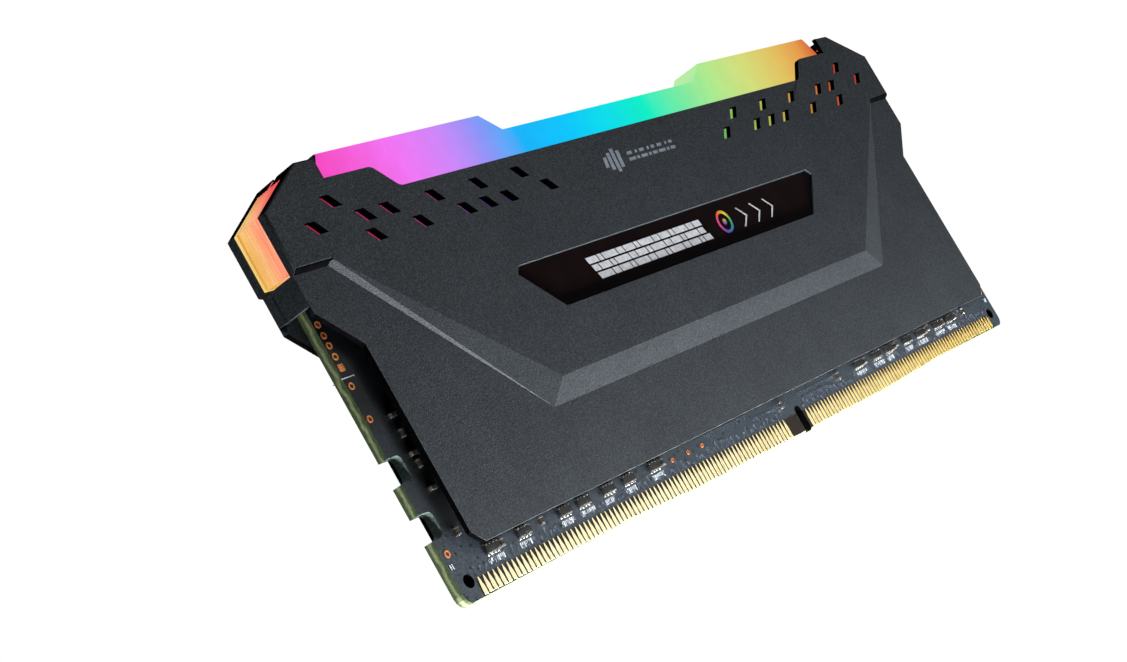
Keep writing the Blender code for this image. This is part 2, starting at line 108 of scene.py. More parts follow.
# Small parts on the board
CAPACITOR_SIZE = (1.0 * MM, 0.5 * MM, 0.45 * MM)  # length, width, height
ARRAY_CAPACITOR_SIZE = (0.95 * MM, 0.5 * MM, 0.4 * MM)
ARRAY_CAPACITOR_SHARE = 0.7  # how many of the arrays have a capacitor beside them
ARRAY_TERMINALS = 4
END_CAPACITOR_X = 62.9 * MM
END_CAPACITORS = ((21.6, False), (19.5, True), (17.1, False), (15.9, True), (13.0, False), (7.9, True))
ROW_CAPACITORS = ((2.3, 4.5), (18.0, 4.6), (-50.2, 5.0), (35.6, 5.0), (45.6, 5.0), (57.4, 4.9))
PRINT_SINK, PRINT_RAISE = 0.003 * MM, 0.016 * MM
PRINT_TOP = 3.86 * MM
PRINT_WIDTHS = (0.08, 0.10, 0.20)
PRINT_BOTTOMS = (3.22, 3.22, 3.44)
PRINT_GAP = 0.13 * MM
PRINT_LEAN = 0.07 * MM
# Dashes at each end: shift from the column's middle, height of the foot, width and height
END_PRINT_X = 65.9 * MM
END_PRINT = ((-1.0, 26.95, 2.1, 0.14), (-0.4, 4.5, 0.16, 0.6), (-0.05, 4.5, 0.12, 0.6))
BALL_PITCH = 0.8 * MM
BALL_FIRST_X = 1.6 * MM
BALL_COLUMNS, BALL_ROWS = 3, 13
SUBSTRATE_GAP, SUBSTRATE_THICKNESS = 0.24 * MM, 0.14 * MM
DIMPLE_INSET = 0.9 * MM

# Spreaders, and the zone that holds their slanted holes
PLATEAU_Y = 3.3 * MM
HORN_START_X, HORN_START_Z = 59.0 * MM, 38.6 * MM
HOLE_ZONE_X = (19.0 * MM, 63.8 * MM)
HOLE_ZONE_Z = (38.2 * MM, 46.5 * MM)
HOLE_SIDE = 2.3 * MM
END_WALL_X = 66.2 * MM
POCKET_HALF, POCKET_HEIGHTS = 36 * MM, (25 * MM, 32.5 * MM)
STEP_START_X, STEP_HEIGHTS = 57.5 * MM, (29 * MM, 39 * MM)
HOLE_FIRST = (21.0 * MM, 40.1 * MM)
HOLE_PITCH = (4.07 * MM, 2.46 * MM)
HOLE_ROWS = ((0, 2, 3, 4, 6, 8), (1, 3, 5, 7, 8, 10), (9,))
HOLE_SIZE = (1.65 * MM, 1.55 * MM)
HOLE_LEAN = 1.30 * MM

# The near-black film behind the holes, painted shade, and its glowing windows, painted light
FILM_Y, FILM_THICKNESS = 2.42 * MM, 0.06 * MM
FILM_X = (19.0 * MM, 63.2 * MM)
FILM_Z = (38.75 * MM, 44.4 * MM)
FILM_STEP = (50.5 * MM, 47.0 * MM)
WINDOW_RAISE = 0.012 * MM
WINDOW_SHIFT = 0.40 * MM
WINDOW_WIDTHS = {LEFT: 1.02 * MM, RIGHT: 2.1 * MM}
WINDOW_STRETCH = 1.45  # so that a window runs past the hole's own top and bottom
WINDOW_DROP = 0.70

# End strips
SHOULDER_Z = 45.6 * MM
STRIP_RIBS = 9
STRIP_RIB_HEIGHT = 0.09 * MM
STRIP_THICKNESS = 1.5 * MM
STRIP_TOP_X = 62.0 * MM
STRIP_REACH = 1.26  # how far the sloping arm runs, as a share of its solid
STRIP_DROP = 0.42 * MM

# Marks on the badge and the plateau
MARK_RAISE = 0.02 * MM
BRICK_ROWS, BRICK_WIDTHS = 3, (2.9, 1.3, 2.2, 0.8)
BRICK_SPAN = (-20.8 * MM, 5.1 * MM)
BRICK_BOTTOM, BRICK_HEIGHT, BRICK_LEAN = 27.15 * MM, 0.84 * MM, -0.30 * MM
BRICK_GAP, BRICK_ROW_GAP, BRICK_ROW_SHIFT = 0.22 * MM, 0.24 * MM, 0.42 * MM
BRICK_MIN = 0.3 * MM
RING_CENTRE = Vector((9.4 * MM, 0.0, 28.75 * MM))
RING_RADII, RING_DOT = (1.2 * MM, 1.62 * MM), 0.42 * MM
CHEVRONS, CHEVRON_START, CHEVRON_PITCH = 3, 13.2, 3.5
CHEVRON_WIDTH, CHEVRON_HEIGHTS = 0.32 * MM, (27.2 * MM, 28.6 * MM, 30.0 * MM)
EMBLEM_X, EMBLEM_Z, EMBLEM_PITCH = -8.6, 39.1, 1.05
EMBLEM_BARS = ((1.4, 0.9), (2.3, 0.45), (3.2, 0.0), (2.3, 0.45))  # height, lift
STROKE_WIDTHS = (1.5, 0.6, 1.5, 0.6, 1.1, 1.5, 0.6, 1.1)
STROKE_START, STROKE_GAP, STROKE_HEIGHT, STROKE_LEAN = -3.2 * MM, 0.35, 0.42 * MM, 0.1 * MM
STROKE_ROWS = (40.05 * MM, 40.9 * MM)

# Studio
CAMERA_PLACE = Vector((-0.23598, -0.15340, -0.00544))
CAMERA_AZIMUTH = math.radians(-53.51)
CAMERA_ELEVATION = math.radians(-6.41)
CAMERA_ROLL = math.radians(-29.69)
CAMERA_LENS = 71.5
FLOOR_Z = -0.060
FLOOR_SIZE = 4.0
# Softboxes: name, place, target, width, height, watts
SOFTBOXES = (
    ("key", (0.01, -0.014, -0.055), (0.01, -0.004, 0.02), 0.24, 0.012, 0.88),
    ("front", (0.10, -0.40, 0.10), (0.0, 0.0, 0.02), 0.30, 0.20, 0.25),
    ("rear", (0.15, 0.45, 0.25), (0.0, 0.0, 0.03), 0.30, 0.30, 0.35),
)


# ---------------------------------------------------------------- materials

def paint(red, green, blue):
    """A screen colour, 0 to 255, as the linear colour that a shader takes."""
    def linear(value):
        value /= 255
        return value / 12.92 if value <= 0.04045 else ((value + 0.055) / 1.055) ** 2.4
    return (linear(red), linear(green), linear(blue), 1.0)


class Finish:
    """A material's node tree, with short ways to add to it."""

    def __init__(self, name, **constants):
        self.material = bpy.data.materials.new(name)
        self.material.use_nodes = True
        self.tree = self.material.node_tree
        self.shader = self.tree.nodes["Principled BSDF"]
        for socket, value in constants.items():
            self.shader.inputs[socket.replace("_", " ")].default_value = value
        self.place = self.add("ShaderNodeTexCoord").outputs["Object"]

    def add(self, kind, inputs=None, **settings):
        """A new node, with its inputs linked or set by name."""
        node = self.tree.nodes.new(kind)
        for name, value in settings.items():
            setattr(node, name, value)
        for name, value in (inputs or {}).items():
            if isinstance(value, bpy.types.NodeSocket):
                self.tree.links.new(value, node.inputs[name])
            else:
                node.inputs[name].default_value = value
        return node

    def link(self, output, socket):
        self.tree.links.new(output, self.shader.inputs[socket])

    def mapped(self, scale=(1, 1, 1), turn=(0, 0, 0), shift=(0, 0, 0)):
        inputs = {"Vector": self.place, "Scale": scale, "Rotation": turn, "Location": shift}
        return self.add("ShaderNodeMapping", inputs).outputs["Vector"]

    def noise(self, scale, detail=2.0, rough=0.5, vector=None):
        inputs = {"Vector": vector or self.place, "Scale": scale, "Detail": detail, "Roughness": rough}
        return self.add("ShaderNodeTexNoise", inputs).outputs["Fac"]

    def cells(self, scale):
        inputs = {"Vector": self.place, "Scale": scale}
        return self.add("ShaderNodeTexVoronoi", inputs).outputs["Distance"]

    def ramp(self, factor, stops):
        """A colour ramp through stops of a position and a colour or grey value."""
        node = self.add("ShaderNodeValToRGB", {"Fac": factor})
        elements = node.color_ramp.elements
        while len(elements) < len(stops):
            elements.new(0.5)
        for element, (position, colour) in zip(elements, stops):
            element.position = position
            element.color = colour if hasattr(colour, "__len__") else (colour, colour, colour, 1.0)
        return node.outputs["Color"]

    def calc(self, operation, first, second=0.0):
        return self.add("ShaderNodeMath", {0: first, 1: second}, operation=operation).outputs["Value"]

    def span(self, value, low, high, out_low=0.0, out_high=1.0):
        """Maps low..high to out_low..out_high, clamped."""
        inputs = {"Value": value, "From Min": low, "From Max": high}
        inputs |= {"To Min": out_low, "To Max": out_high}
        return self.add("ShaderNodeMapRange", inputs).outputs["Result"]

    def mix(self, factor, first, second, blend="MIX"):
        node = self.add("ShaderNodeMix", data_type="RGBA", blend_type=blend)
        for socket, value in (("Factor", factor), ("A", first), ("B", second)):
            entry = next(i for i in node.inputs if i.name == socket and i.enabled)
            if isinstance(value, bpy.types.NodeSocket):
                self.tree.links.new(value, entry)
            else:
                entry.default_value = value
        return next(o for o in node.outputs if o.enabled)

    def axes(self):
        split = self.add("ShaderNodeSeparateXYZ", {"Vector": self.place})
        return split.outputs["X"], split.outputs["Y"], split.outputs["Z"]

    def bump(self, height, depth, strength=1.0, under=None):
        inputs = {"Height": height, "Distance": depth, "Strength": strength}
        if under is not None:
            inputs["Normal"] = under
        return self.add("ShaderNodeBump", inputs).outputs["Normal"]

    def surface(self, texture, sheen, relief):
        """One texture as the roughness (low and high) and the relief (depth in mm and strength)."""
        self.link(self.span(texture, 0.2, 0.8, *sheen), "Roughness")
        self.link(self.bump(texture, relief[0] * MM, relief[1]), "Normal")
        return self.material

    def skin(self, texture, dark, light, sheen, relief):
        """A surface whose texture also sets its tone, from dark to light."""
        self.link(self.ramp(texture, [(0.3, paint(*dark)), (0.7, paint(*light))]), "Base Color")
        return self.surface(texture, sheen, relief)


def powder_coat():
    """Charcoal powder coat: a fine sparkle of grain over a slightly uneven tone."""
    f = Finish("powder_coat", Metallic=0.0, Specular_IOR_Level=0.22)
    grain = f.noise(6500.0, detail=3.0, rough=0.65)
    patches = f.noise(160.0, detail=3.0)
    flecks = f.cells(5200.0)
    tone = f.ramp(grain, [(0.28, paint(26, 30, 33)), (0.5, paint(47, 51, 55)), (0.74, paint(78, 84, 89))])
    uneven = f.ramp(patches, [(0.3, paint(235, 236, 238)), (0.7, paint(255, 255, 255))])
    f.link(f.mix(1.0, tone, uneven, "MULTIPLY"), "Base Color")
    f.link(f.span(grain, 0.25, 0.75, 0.62, 0.46), "Roughness")
    orange_peel = f.bump(f.noise(1500.0, detail=2.0), 0.02 * MM, 0.25)
    f.link(f.bump(f.calc("SUBTRACT", grain, flecks), 0.035 * MM, 0.45, orange_peel), "Normal")
    return f.material


def solder_mask():
    """Slate-black mask over the traces, bare dark laminate in the band around the contacts, and painted shade
    on the strips beside the spreaders.
    """
    f = Finish("solder_mask", Specular_IOR_Level=0.5)
    x, _, z = f.axes()
    weave = f.noise(2600.0, detail=2.0, vector=f.mapped(scale=(1.0, 1.0, 2.2)))
    blots = f.cells(1100.0)
    mask = f.ramp(weave, [(0.3, paint(36, 42, 48)), (0.55, paint(48, 55, 62)), (0.8, paint(64, 71, 79))])
    dots = f.ramp(blots, [(0.1, paint(90, 95, 105)), (0.26, paint(255, 255, 255))])
    coloured = f.mix(1.0, mask, dots, "MULTIPLY")
    bare = f.ramp(f.noise(3200.0, detail=3.0), [(0.3, paint(16, 12, 8)), (0.7, paint(36, 28, 19))])
    low_down = f.calc("LESS_THAN", z, BAND_TOP)
    among_contacts = f.calc("LESS_THAN", f.calc("ABSOLUTE", x), BAND_REACH)
    in_band = f.calc("MULTIPLY", low_down, among_contacts)
    # Painted shade: beside the spreaders the mask is darkened towards near-black, as if in their shadow, most
    # next to them and high up.
    from_middle = f.calc("ABSOLUTE", x)
    by_spreader = f.span(from_middle, 63.6 * MM, 65.4 * MM, 0.95, 0.35)
    high_up = f.span(z, 17.0 * MM, 24.0 * MM, 0.0, 0.93)
    past_spreader = f.calc("GREATER_THAN", from_middle, STRIP_START)
    beside = f.calc("MULTIPLY", past_spreader, f.span(z, 6.3 * MM, 9.0 * MM))
    shaded = f.calc("MULTIPLY", beside, f.calc("MAXIMUM", by_spreader, high_up))
    f.link(f.mix(shaded, f.mix(in_band, coloured, bare), paint(4, 5, 6)), "Base Color")
    return f.surface(weave, (0.30, 0.46), (0.012, 0.5))


def laminate():
    """The cut glass-fibre edge: olive green with a pale fibrous core, layered through the thickness."""
    f = Finish("cut_laminate", Specular_IOR_Level=0.4)
    _, y, _ = f.axes()
    fibres = f.noise(1900.0, detail=4.0, rough=0.7, vector=f.mapped(scale=(1.0, 4.0, 1.0)))
    wander = f.noise(700.0, detail=2.0)
    across = f.calc("ABSOLUTE", f.calc("ADD", y, f.span(wander, 0.2, 0.8, -0.25 * MM, 0.25 * MM)), 0.0)
    core = f.span(across, 0.0, 0.55 * MM, 1.0, 0.0)
    layers = f.add("ShaderNodeTexWave", {"Vector": f.place, "Scale": 1500.0, "Distortion": 1.5,
                                        "Detail": 2.0, "Detail Scale": 3.0}, bands_direction="Y")
    dark = f.ramp(fibres, [(0.3, paint(52, 66, 42)), (0.7, paint(92, 108, 70))])
    pale = f.ramp(fibres, [(0.3, paint(108, 122, 84)), (0.7, paint(172, 182, 142))])
    body = f.mix(f.ramp(core, [(0.35, 0.0), (0.85, 1.0)]), dark, pale)
    shade = f.ramp(layers.outputs["Fac"], [(0.0, paint(226, 228, 220)), (1.0, paint(255, 255, 255))])
    f.link(f.mix(1.0, body, shade, "MULTIPLY"), "Base Color")
    return f.surface(fibres, (0.75, 0.5), (0.03, 0.6))


def notch_glass():
    """The routed walls of the latch notches, grey-green and glassy."""
    f = Finish("routed_laminate", Specular_IOR_Level=0.5)
    fibres = f.noise(2400.0, detail=3.0, rough=0.65)
    return f.skin(fibres, (46, 60, 56), (100, 118, 110), (0.35, 0.55), (0.02, 0.5))


def gold_plating():
    """Bright gold with faint wiping marks from the socket, warmer towards the right."""
    f = Finish("gold_plating", Metallic=0.55)
    x, _, _ = f.axes()
    wiped = f.noise(2600.0, detail=2.0, vector=f.mapped(scale=(2.4, 1.0, 0.22)))
    cream = f.ramp(wiped, [(0.3, paint(246, 230, 178)), (0.7, paint(255, 246, 206))])
    deep = f.ramp(wiped, [(0.3, paint(226, 190, 104)), (0.7, paint(250, 222, 142))])
    f.link(f.mix(f.span(x, -30 * MM, 50 * MM), cream, deep), "Base Color")
    return f.surface(wiped, (0.22, 0.4), (0.004, 0.3))


def copper_ring():
    """Plated through-holes seen through the mask: orange copper with a dark wall."""
    f = Finish("copper_ring", Metallic=0.6)
    speckle = f.noise(5200.0, detail=3.0)
    stops = [(0.3, paint(196, 96, 40)), (0.55, paint(240, 150, 84)), (0.8, paint(255, 214, 160))]
    f.link(f.ramp(speckle, stops), "Base Color")
    return f.surface(speckle, (0.28, 0.5), (0.01, 0.5))


def tinned():
    """Tinned ends and solder fillets, bright and slightly lumpy."""
    f = Finish("tinned", Metallic=1.0)
    return f.skin(f.noise(2800.0), (176, 176, 170), (238, 236, 226), (0.22, 0.45), (0.02, 0.6))


def chip_moulding(name="chip_moulding", dark=(20, 20, 22), light=(44, 45, 48), gloss=0.4):
    """Black moulding compound with a fine pitted skin."""
    f = Finish(name, Specular_IOR_Level=gloss)
    pits = f.cells(5200.0)
    cloud = f.noise(900.0, detail=4.0)
    f.link(f.ramp(cloud, [(0.3, paint(*dark)), (0.7, paint(*light))]), "Base Color")
    f.link(f.span(cloud, 0.2, 0.8, 0.5, 0.7), "Roughness")
    f.link(f.bump(pits, 0.012 * MM, 0.5), "Normal")
    return f.material


def capacitor_ceramic():
    """Tan-brown ceramic of small capacitors."""
    f = Finish("capacitor_ceramic", Specular_IOR_Level=0.5)
    return f.skin(f.noise(2600.0, detail=3.0), (20, 18, 16), (54, 46, 38), (0.4, 0.6), (0.01, 0.4))


def white_moulding():
    """White housing of the lamps."""
    f = Finish("lamp_housing", Specular_IOR_Level=0.5)
    return f.skin(f.noise(1500.0, detail=3.0), (214, 214, 206), (240, 240, 234), (0.35, 0.5), (0.006, 0.4))


def lamp_gel():
    """Milky gel in the lamps' windows."""
    f = Finish("lamp_gel", Coat_Weight=0.6)
    return f.skin(f.noise(2200.0), (232, 214, 150), (246, 236, 190), (0.15, 0.3), (0.004, 0.3))


# Where the bar changes colour, as millimetres along X and a screen colour
BAR_COLOURS = (
    (-57, (246, 66, 186)), (-50, (248, 92, 216)), (-42, (243, 118, 248)), (-34, (206, 136, 250)),
    (-27, (140, 150, 250)), (-20, (20, 180, 252)), (-10, (2, 200, 254)), (0, (2, 226, 232)),
    (8, (8, 242, 196)), (16, (112, 236, 166)), (25, (172, 236, 144)), (35, (212, 224, 124)),
    (45, (228, 194, 96)), (52, (232, 158, 76)), (57, (214, 84, 56)),
)
# The same light painted as glowing patches in the holes: deeper, and redder at the outer ends
HOLE_COLOURS = (
    (-59, (196, 30, 74)), (-52, (206, 36, 110)), (-42, (190, 50, 150)), (-34, (150, 70, 190)),
    (-27, (96, 70, 200)), (-20, (22, 60, 190)), (20, (90, 186, 96)), (28, (146, 190, 84)),
    (36, (190, 190, 84)), (45, (196, 140, 62)), (52, (204, 104, 48)), (59, (190, 60, 36)),
)
COLOUR_REACH = 60  # the colours' ramps run this many millimetres to each side


def hues_along(f, x, colours):
    """The colours as a ramp along x."""
    stops = [((at + COLOUR_REACH) / (2 * COLOUR_REACH), paint(*colour)) for at, colour in colours]
    return f.ramp(f.span(x, -COLOUR_REACH * MM, COLOUR_REACH * MM), stops)


def light_guide():
    """Milky bar lit from inside: colours run along it, deeper low down and paler at the rim."""
    f = Finish("light_guide", Specular_IOR_Level=0.12)
    x, y, z = f.axes()
    cloud = f.noise(420.0, detail=3.0)
    wander = f.calc("ADD", x, f.span(cloud, 0.2, 0.8, -0.5 * MM, 0.5 * MM))
    hue = hues_along(f, wander, BAR_COLOURS)
    glow = f.span(z, 39.0 * MM, 45.2 * MM, 0.30, 0.96)
    rim = f.span(f.calc("ABSOLUTE", y), 1.90 * MM, 2.27 * MM, 0.14, 0.0)
    lit = f.mix(rim, hue, paint(255, 250, 250))
    f.link(lit, "Emission Color")
    f.link(f.calc("MULTIPLY", glow, f.span(cloud, 0.2, 0.8, 0.96, 1.04)), "Emission Strength")
    f.link(f.mix(0.92, hue, paint(12, 12, 14)), "Base Color")
    f.link(f.span(f.noise(2600.0), 0.2, 0.8, 0.3, 0.42), "Roughness")
    f.link(f.bump(f.noise(2600.0, detail=2.0), 0.004 * MM, 0.3), "Normal")
    return f.material


def painted_hole_light():
    """Painted light: the bar's colours glowing as patches seen through the slanted holes."""
    f = Finish("painted_hole_light", Specular_IOR_Level=0.1)
    x, _, _ = f.axes()
    cloud = f.noise(900.0, detail=2.0)
    hue = hues_along(f, x, HOLE_COLOURS)
    f.link(hue, "Emission Color")
    f.link(f.span(cloud, 0.2, 0.8, 0.7, 1.2), "Emission Strength")
    f.link(f.mix(0.9, hue, paint(8, 8, 8)), "Base Color")
    return f.surface(cloud, (0.3, 0.5), (0.01, 0.3))


def strip_guide():
    """Milky end strips: coral at the front, gold at the rear, red-pink at the top, streaked lengthwise."""
    f = Finish("strip_guide", Specular_IOR_Level=0.35)
    _, y, z = f.axes()
    streaks = f.noise(1500.0, detail=2.0, vector=f.mapped(scale=(0.12, 2.2, 0.12)))
    across = f.span(y, -2.0 * MM, 2.0 * MM)
    body = f.ramp(across, [
        (0.0, paint(250, 128, 104)), (0.22, paint(248, 150, 112)), (0.45, paint(240, 176, 116)),
        (0.8, paint(234, 178, 88)), (0.88, paint(206, 140, 44)), (0.96, paint(246, 214, 130)),
    ])
    streaked = f.mix(f.span(streaks, 0.45, 0.75, 0.0, 0.35), body, paint(255, 226, 170))
    tilt = f.span(y, -2 * MM, 2 * MM, 0.9 * MM, -1.1 * MM)
    front_tip = f.span(f.calc("ADD", z, tilt), 46.4 * MM, 49.0 * MM)
    lit = f.mix(f.ramp(front_tip, [(0.0, 0.0), (1.0, 0.9)]), streaked, paint(236, 60, 72))
    f.link(lit, "Emission Color")
    f.link(f.span(streaks, 0.2, 0.8, 0.86, 1.0), "Emission Strength")
    f.link(f.mix(0.7, lit, paint(70, 60, 50)), "Base Color")
    return f.surface(streaks, (0.28, 0.45), (0.01, 0.4))


def black_moulding():
    """Black moulded plastic of the brackets, satin with a fine texture."""
    f = Finish("black_moulding", Specular_IOR_Level=0.5)
    return f.skin(f.noise(3600.0, detail=3.0), (12, 12, 13), (30, 31, 33), (0.3, 0.5), (0.012, 0.4))


def badge_gloss():
    """Near-black gloss plate with a faint warm cast and a few fine specks of dust."""
    f = Finish("badge_gloss", Specular_IOR_Level=0.05)
    cloud = f.noise(240.0, detail=3.0)
    dust = f.ramp(f.cells(900.0), [(0.03, 0.5), (0.06, 0.0)])
    f.link(f.mix(f.ramp(dust, [(0.0, 0.0), (1.0, 0.12)]),
                 f.ramp(cloud, [(0.3, paint(15, 8, 9)), (0.7, paint(22, 12, 13))]),
                 paint(60, 56, 56)), "Base Color")
    f.link(f.span(cloud, 0.2, 0.8, 0.16, 0.28), "Roughness")
    f.link(f.bump(f.noise(4200.0), 0.002 * MM, 0.3), "Normal")
    return f.material


def ink(name, dark, light):
    """Screen-printed ink, slightly uneven and matt."""
    f = Finish(name, Specular_IOR_Level=0.3)
    return f.skin(f.noise(2200.0, detail=3.0), dark, light, (0.5, 0.7), (0.005, 0.4))


def wheel_ink(centre):
    """The ring of colours printed on the badge, turning once round its centre."""
    f = Finish("colour_ring_ink", Specular_IOR_Level=0.3)
    shift = f.mapped(turn=(math.pi / 2, 0, 0), shift=(-centre.x, centre.z, 0))
    turn = f.add("ShaderNodeTexGradient", {"Vector": shift}, gradient_type="RADIAL").outputs["Fac"]
    cloud = f.noise(2400.0, detail=3.0)
    hues = [(0.0, (222, 60, 140)), (0.17, (226, 96, 54)), (0.33, (226, 190, 50)), (0.5, (70, 176, 84)),
            (0.67, (40, 130, 190)), (0.83, (110, 70, 170)), (1.0, (222, 60, 140))]
    colour = f.ramp(turn, [(at, paint(*hue)) for at, hue in hues])
    worn = f.ramp(cloud, [(0.3, paint(232, 232, 232)), (0.7, paint(255, 255, 255))])
    f.link(f.mix(1.0, colour, worn, "MULTIPLY"), "Base Color")
    return f.surface(cloud, (0.45, 0.6), (0.005, 0.4))


def label_film():
    """Silver-grey film with a faint brushed sheen."""
    f = Finish("label_film", Metallic=0.35, Specular_IOR_Level=0.5)
    brushed = f.noise(900.0, detail=4.0, vector=f.mapped(scale=(0.08, 1.0, 6.0)))
    return f.skin(brushed, (176, 178, 182), (206, 208, 210), (0.32, 0.5), (0.004, 0.4))


def pad_rubber():
    """Soft grey pad filled with fine powder."""
    f = Finish("pad_rubber", Specular_IOR_Level=0.25)
    powder = f.noise(3800.0, detail=4.0, rough=0.7)
    return f.skin(powder, (132, 138, 146), (176, 182, 190), (0.75, 0.95), (0.03, 0.7))


def studio_floor():
    """Plain white studio floor, lit up where it is seen so that it stays white to the horizon."""
    f = Finish("studio_floor", Roughness=0.9, Specular_IOR_Level=0.1)
    mottle = f.noise(3.0, detail=2.0)
    f.link(f.ramp(mottle, [(0.3, (0.42, 0.42, 0.43, 1.0)), (0.7, (0.44, 0.44, 0.45, 1.0))]), "Base Color")
    f.link(f.ramp(mottle, [(0.3, (0.98, 0.98, 0.98, 1.0)), (0.7, (1.0, 1.0, 1.0, 1.0))]), "Emission Color")
    seen = f.add("ShaderNodeLightPath").outputs["Is Camera Ray"]
    f.link(f.calc("MULTIPLY", seen, 0.97), "Emission Strength")
    return f.material


# ---------------------------------------------------------------- shapes

def finish_piece(name, bm, materials, nodes=(), smooth=30.0):
    """Turns the bmesh into a piece that rides on the module and stands for the given nodes."""
    mesh = bpy.data.meshes.new(name)
    bm.to_mesh(mesh)
    bm.free()
    for material in materials:
        mesh.materials.append(material)
    mesh.shade_smooth()
    mesh.set_sharp_from_angle(angle=math.radians(smooth))
    for polygon in mesh.polygons:
        corners = [mesh.vertices[i].co for i in polygon.vertices]
        longest = max((a - b).length for a, b in zip(corners, corners[1:] + corners[:1]))
        polygon.use_smooth = polygon.area < FLAT_WIDTH * longest
    piece = bpy.data.objects.new(name, mesh)
    bpy.context.scene.collection.objects.link(piece)
    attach(piece, "root")
    if nodes:
        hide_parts(*nodes)
    return piece


def merged_copy(node):
    """The node's shape as whole flat faces."""
    bm = bmesh.new()
    bm.from_mesh(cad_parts[node].data)
    bmesh.ops.remove_doubles(bm, verts=bm.verts, dist=WELD)
    bmesh.ops.dissolve_limit(bm, angle_limit=math.radians(0.5), verts=bm.verts, edges=bm.edges)
    return bm


def bevel(bm, edges, width, segments=2, clamp=True):
    """Rounds the edges, or chamfers them when segments is 1."""
    bmesh.ops.bevel(bm, geom=edges, offset=width, offset_type="OFFSET", segments=segments,
                    profile=0.5, affect="EDGES", material=-1, clamp_overlap=clamp)


def sharp_edges(bm, degrees=30.0):
    return [e for e in bm.edges if len(e.link_faces) == 2 and e.calc_face_angle() > math.radians(degrees)]


def turned_out(bm):
    bmesh.ops.recalc_face_normals(bm, faces=bm.faces)


def block(bm, centre, size, edge=0.0, segments=1, material=0):
    """A block with rounded edges."""
    place = Matrix.Translation(centre) @ Matrix.Diagonal((*size, 1.0))
    verts = bmesh.ops.create_cube(bm, size=1.0, matrix=place)["verts"]
    faces = {f for v in verts for f in v.link_faces}
    for face in faces:
        face.material_index = material
    if edge:
        bevel(bm, list({e for v in verts for e in v.link_edges}), edge, segments)


def plate(bm, outline, y, thickness, material=0, edge=0.0):
    """An outline in XZ raised from depth y by a thickness towards -Y or +Y."""
    base = bm.faces.new([bm.verts.new((x, y, z)) for x, z in outline])
    made = bmesh.ops.extrude_face_region(bm, geom=[base])["geom"]
    top = [g for g in made if isinstance(g, bmesh.types.BMVert)]
    bmesh.ops.translate(bm, verts=top, vec=(0.0, thickness, 0.0))
    cap = next(g for g in made if isinstance(g, bmesh.types.BMFace))
    whole = {base, cap, *(f for v in top for f in v.link_faces)}
    for face in whole:
        face.material_index = material
    bmesh.ops.recalc_face_normals(bm, faces=list(whole))
    if edge:
        bevel(bm, list(cap.edges), edge, 1)


def ring(bm, x, z, inner, outer, y, thickness, steps=20):
    """A flat ring round an axis along Y."""
    corners = [(inner, y), (outer, y), (outer, y + thickness), (inner, y + thickness)]
    verts = [bm.verts.new((x + r, depth, z)) for r, depth in corners]
    edges = [bm.edges.new((verts[i], verts[(i + 1) % 4])) for i in range(4)]
    before = set(bm.faces)
    bmesh.ops.spin(bm, geom=verts + edges, cent=(x, 0.0, z), axis=(0.0, 1.0, 0.0), angle=2 * math.pi,
                   steps=steps, use_merge=True)
    bmesh.ops.recalc_face_normals(bm, faces=[f for f in bm.faces if f not in before])


def disc(bm, x, z, radius, y, thickness, steps=12, material=0):
    """A flat disc that faces along Y."""
    turns = [2 * math.pi * i / steps for i in range(steps)]
    plate(bm, [(x + radius * math.cos(t), z + radius * math.sin(t)) for t in turns], y, thickness, material)


def slanted(x, z, width, height, lean):
    """The outline of a small leaning bar, from its lower left corner."""
    return [(x, z), (x + width, z), (x + width + lean, z + height), (x + lean, z + height)]


def mirrored(outline, side):
    """The outline as the front shows it, or turned half a turn for the rear."""
    return outline if side == FRONT else [(-x, z) for x, z in outline]


def within(value, limits):
    return limits[0] < value < limits[1]


def numbered(prefix):
    """The nodes whose names start with prefix, in the order of their numbers."""
    return sorted((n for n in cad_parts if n.startswith(prefix)), key=lambda n: int(n.split("_")[-1]))


def edge_height(x):
    """Height of the contact edge at x."""
    shares = [(x - near) / (far - near) for near, far in CONTACT_RAMPS]
    return CONTACT_EDGE_STEP * max(0.0, min(1.0, max(shares)))


# ---------------------------------------------------------------- board

def board():
    """The board, chamfered along its contact edge, with mask on its faces, bare laminate at its edges, and
    painted shade (near-black) on the walls of the key notch and corner holes.
    """
    bm = merged_copy("circuit_board")
    foot = CONTACT_EDGE_STEP + 0.05 * MM
    lower = [
        e for e in bm.edges
        if all(v.co.z < foot and abs(abs(v.co.y) - BOARD_FACE) < WELD for v in e.verts)
        and abs(e.verts[0].co.y - e.verts[1].co.y) < WELD
        and e.calc_face_angle() > math.radians(30)
    ]
    bevel(bm, lower, BOARD_CHAMFER, 1, clamp=False)
    latch_span = (LATCH_START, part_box("circuit_board")[1].x - LATCH_EDGE)
    for face in bm.faces:
        if abs(face.normal.y) > 0.99:
            continue
        x, _, z = face.calc_center_median()
        in_latch = within(z, LATCH_HEIGHTS) and within(abs(x), latch_span)
        in_key = within(x, KEY_SPAN) and z > KEY_BOTTOM
        in_hole = within(z, CORNER_HOLE_HEIGHTS) and within(abs(x), CORNER_HOLE_SPAN)
        # The key notch and corner hole walls get painted shade instead of laminate.
        face.material_index = 3 if in_key or in_hole else 2 if in_latch else 1
    finish_piece("board", bm, [MASK, LAMINATE, NOTCH, PAINTED_SHADE], ["circuit_board"])


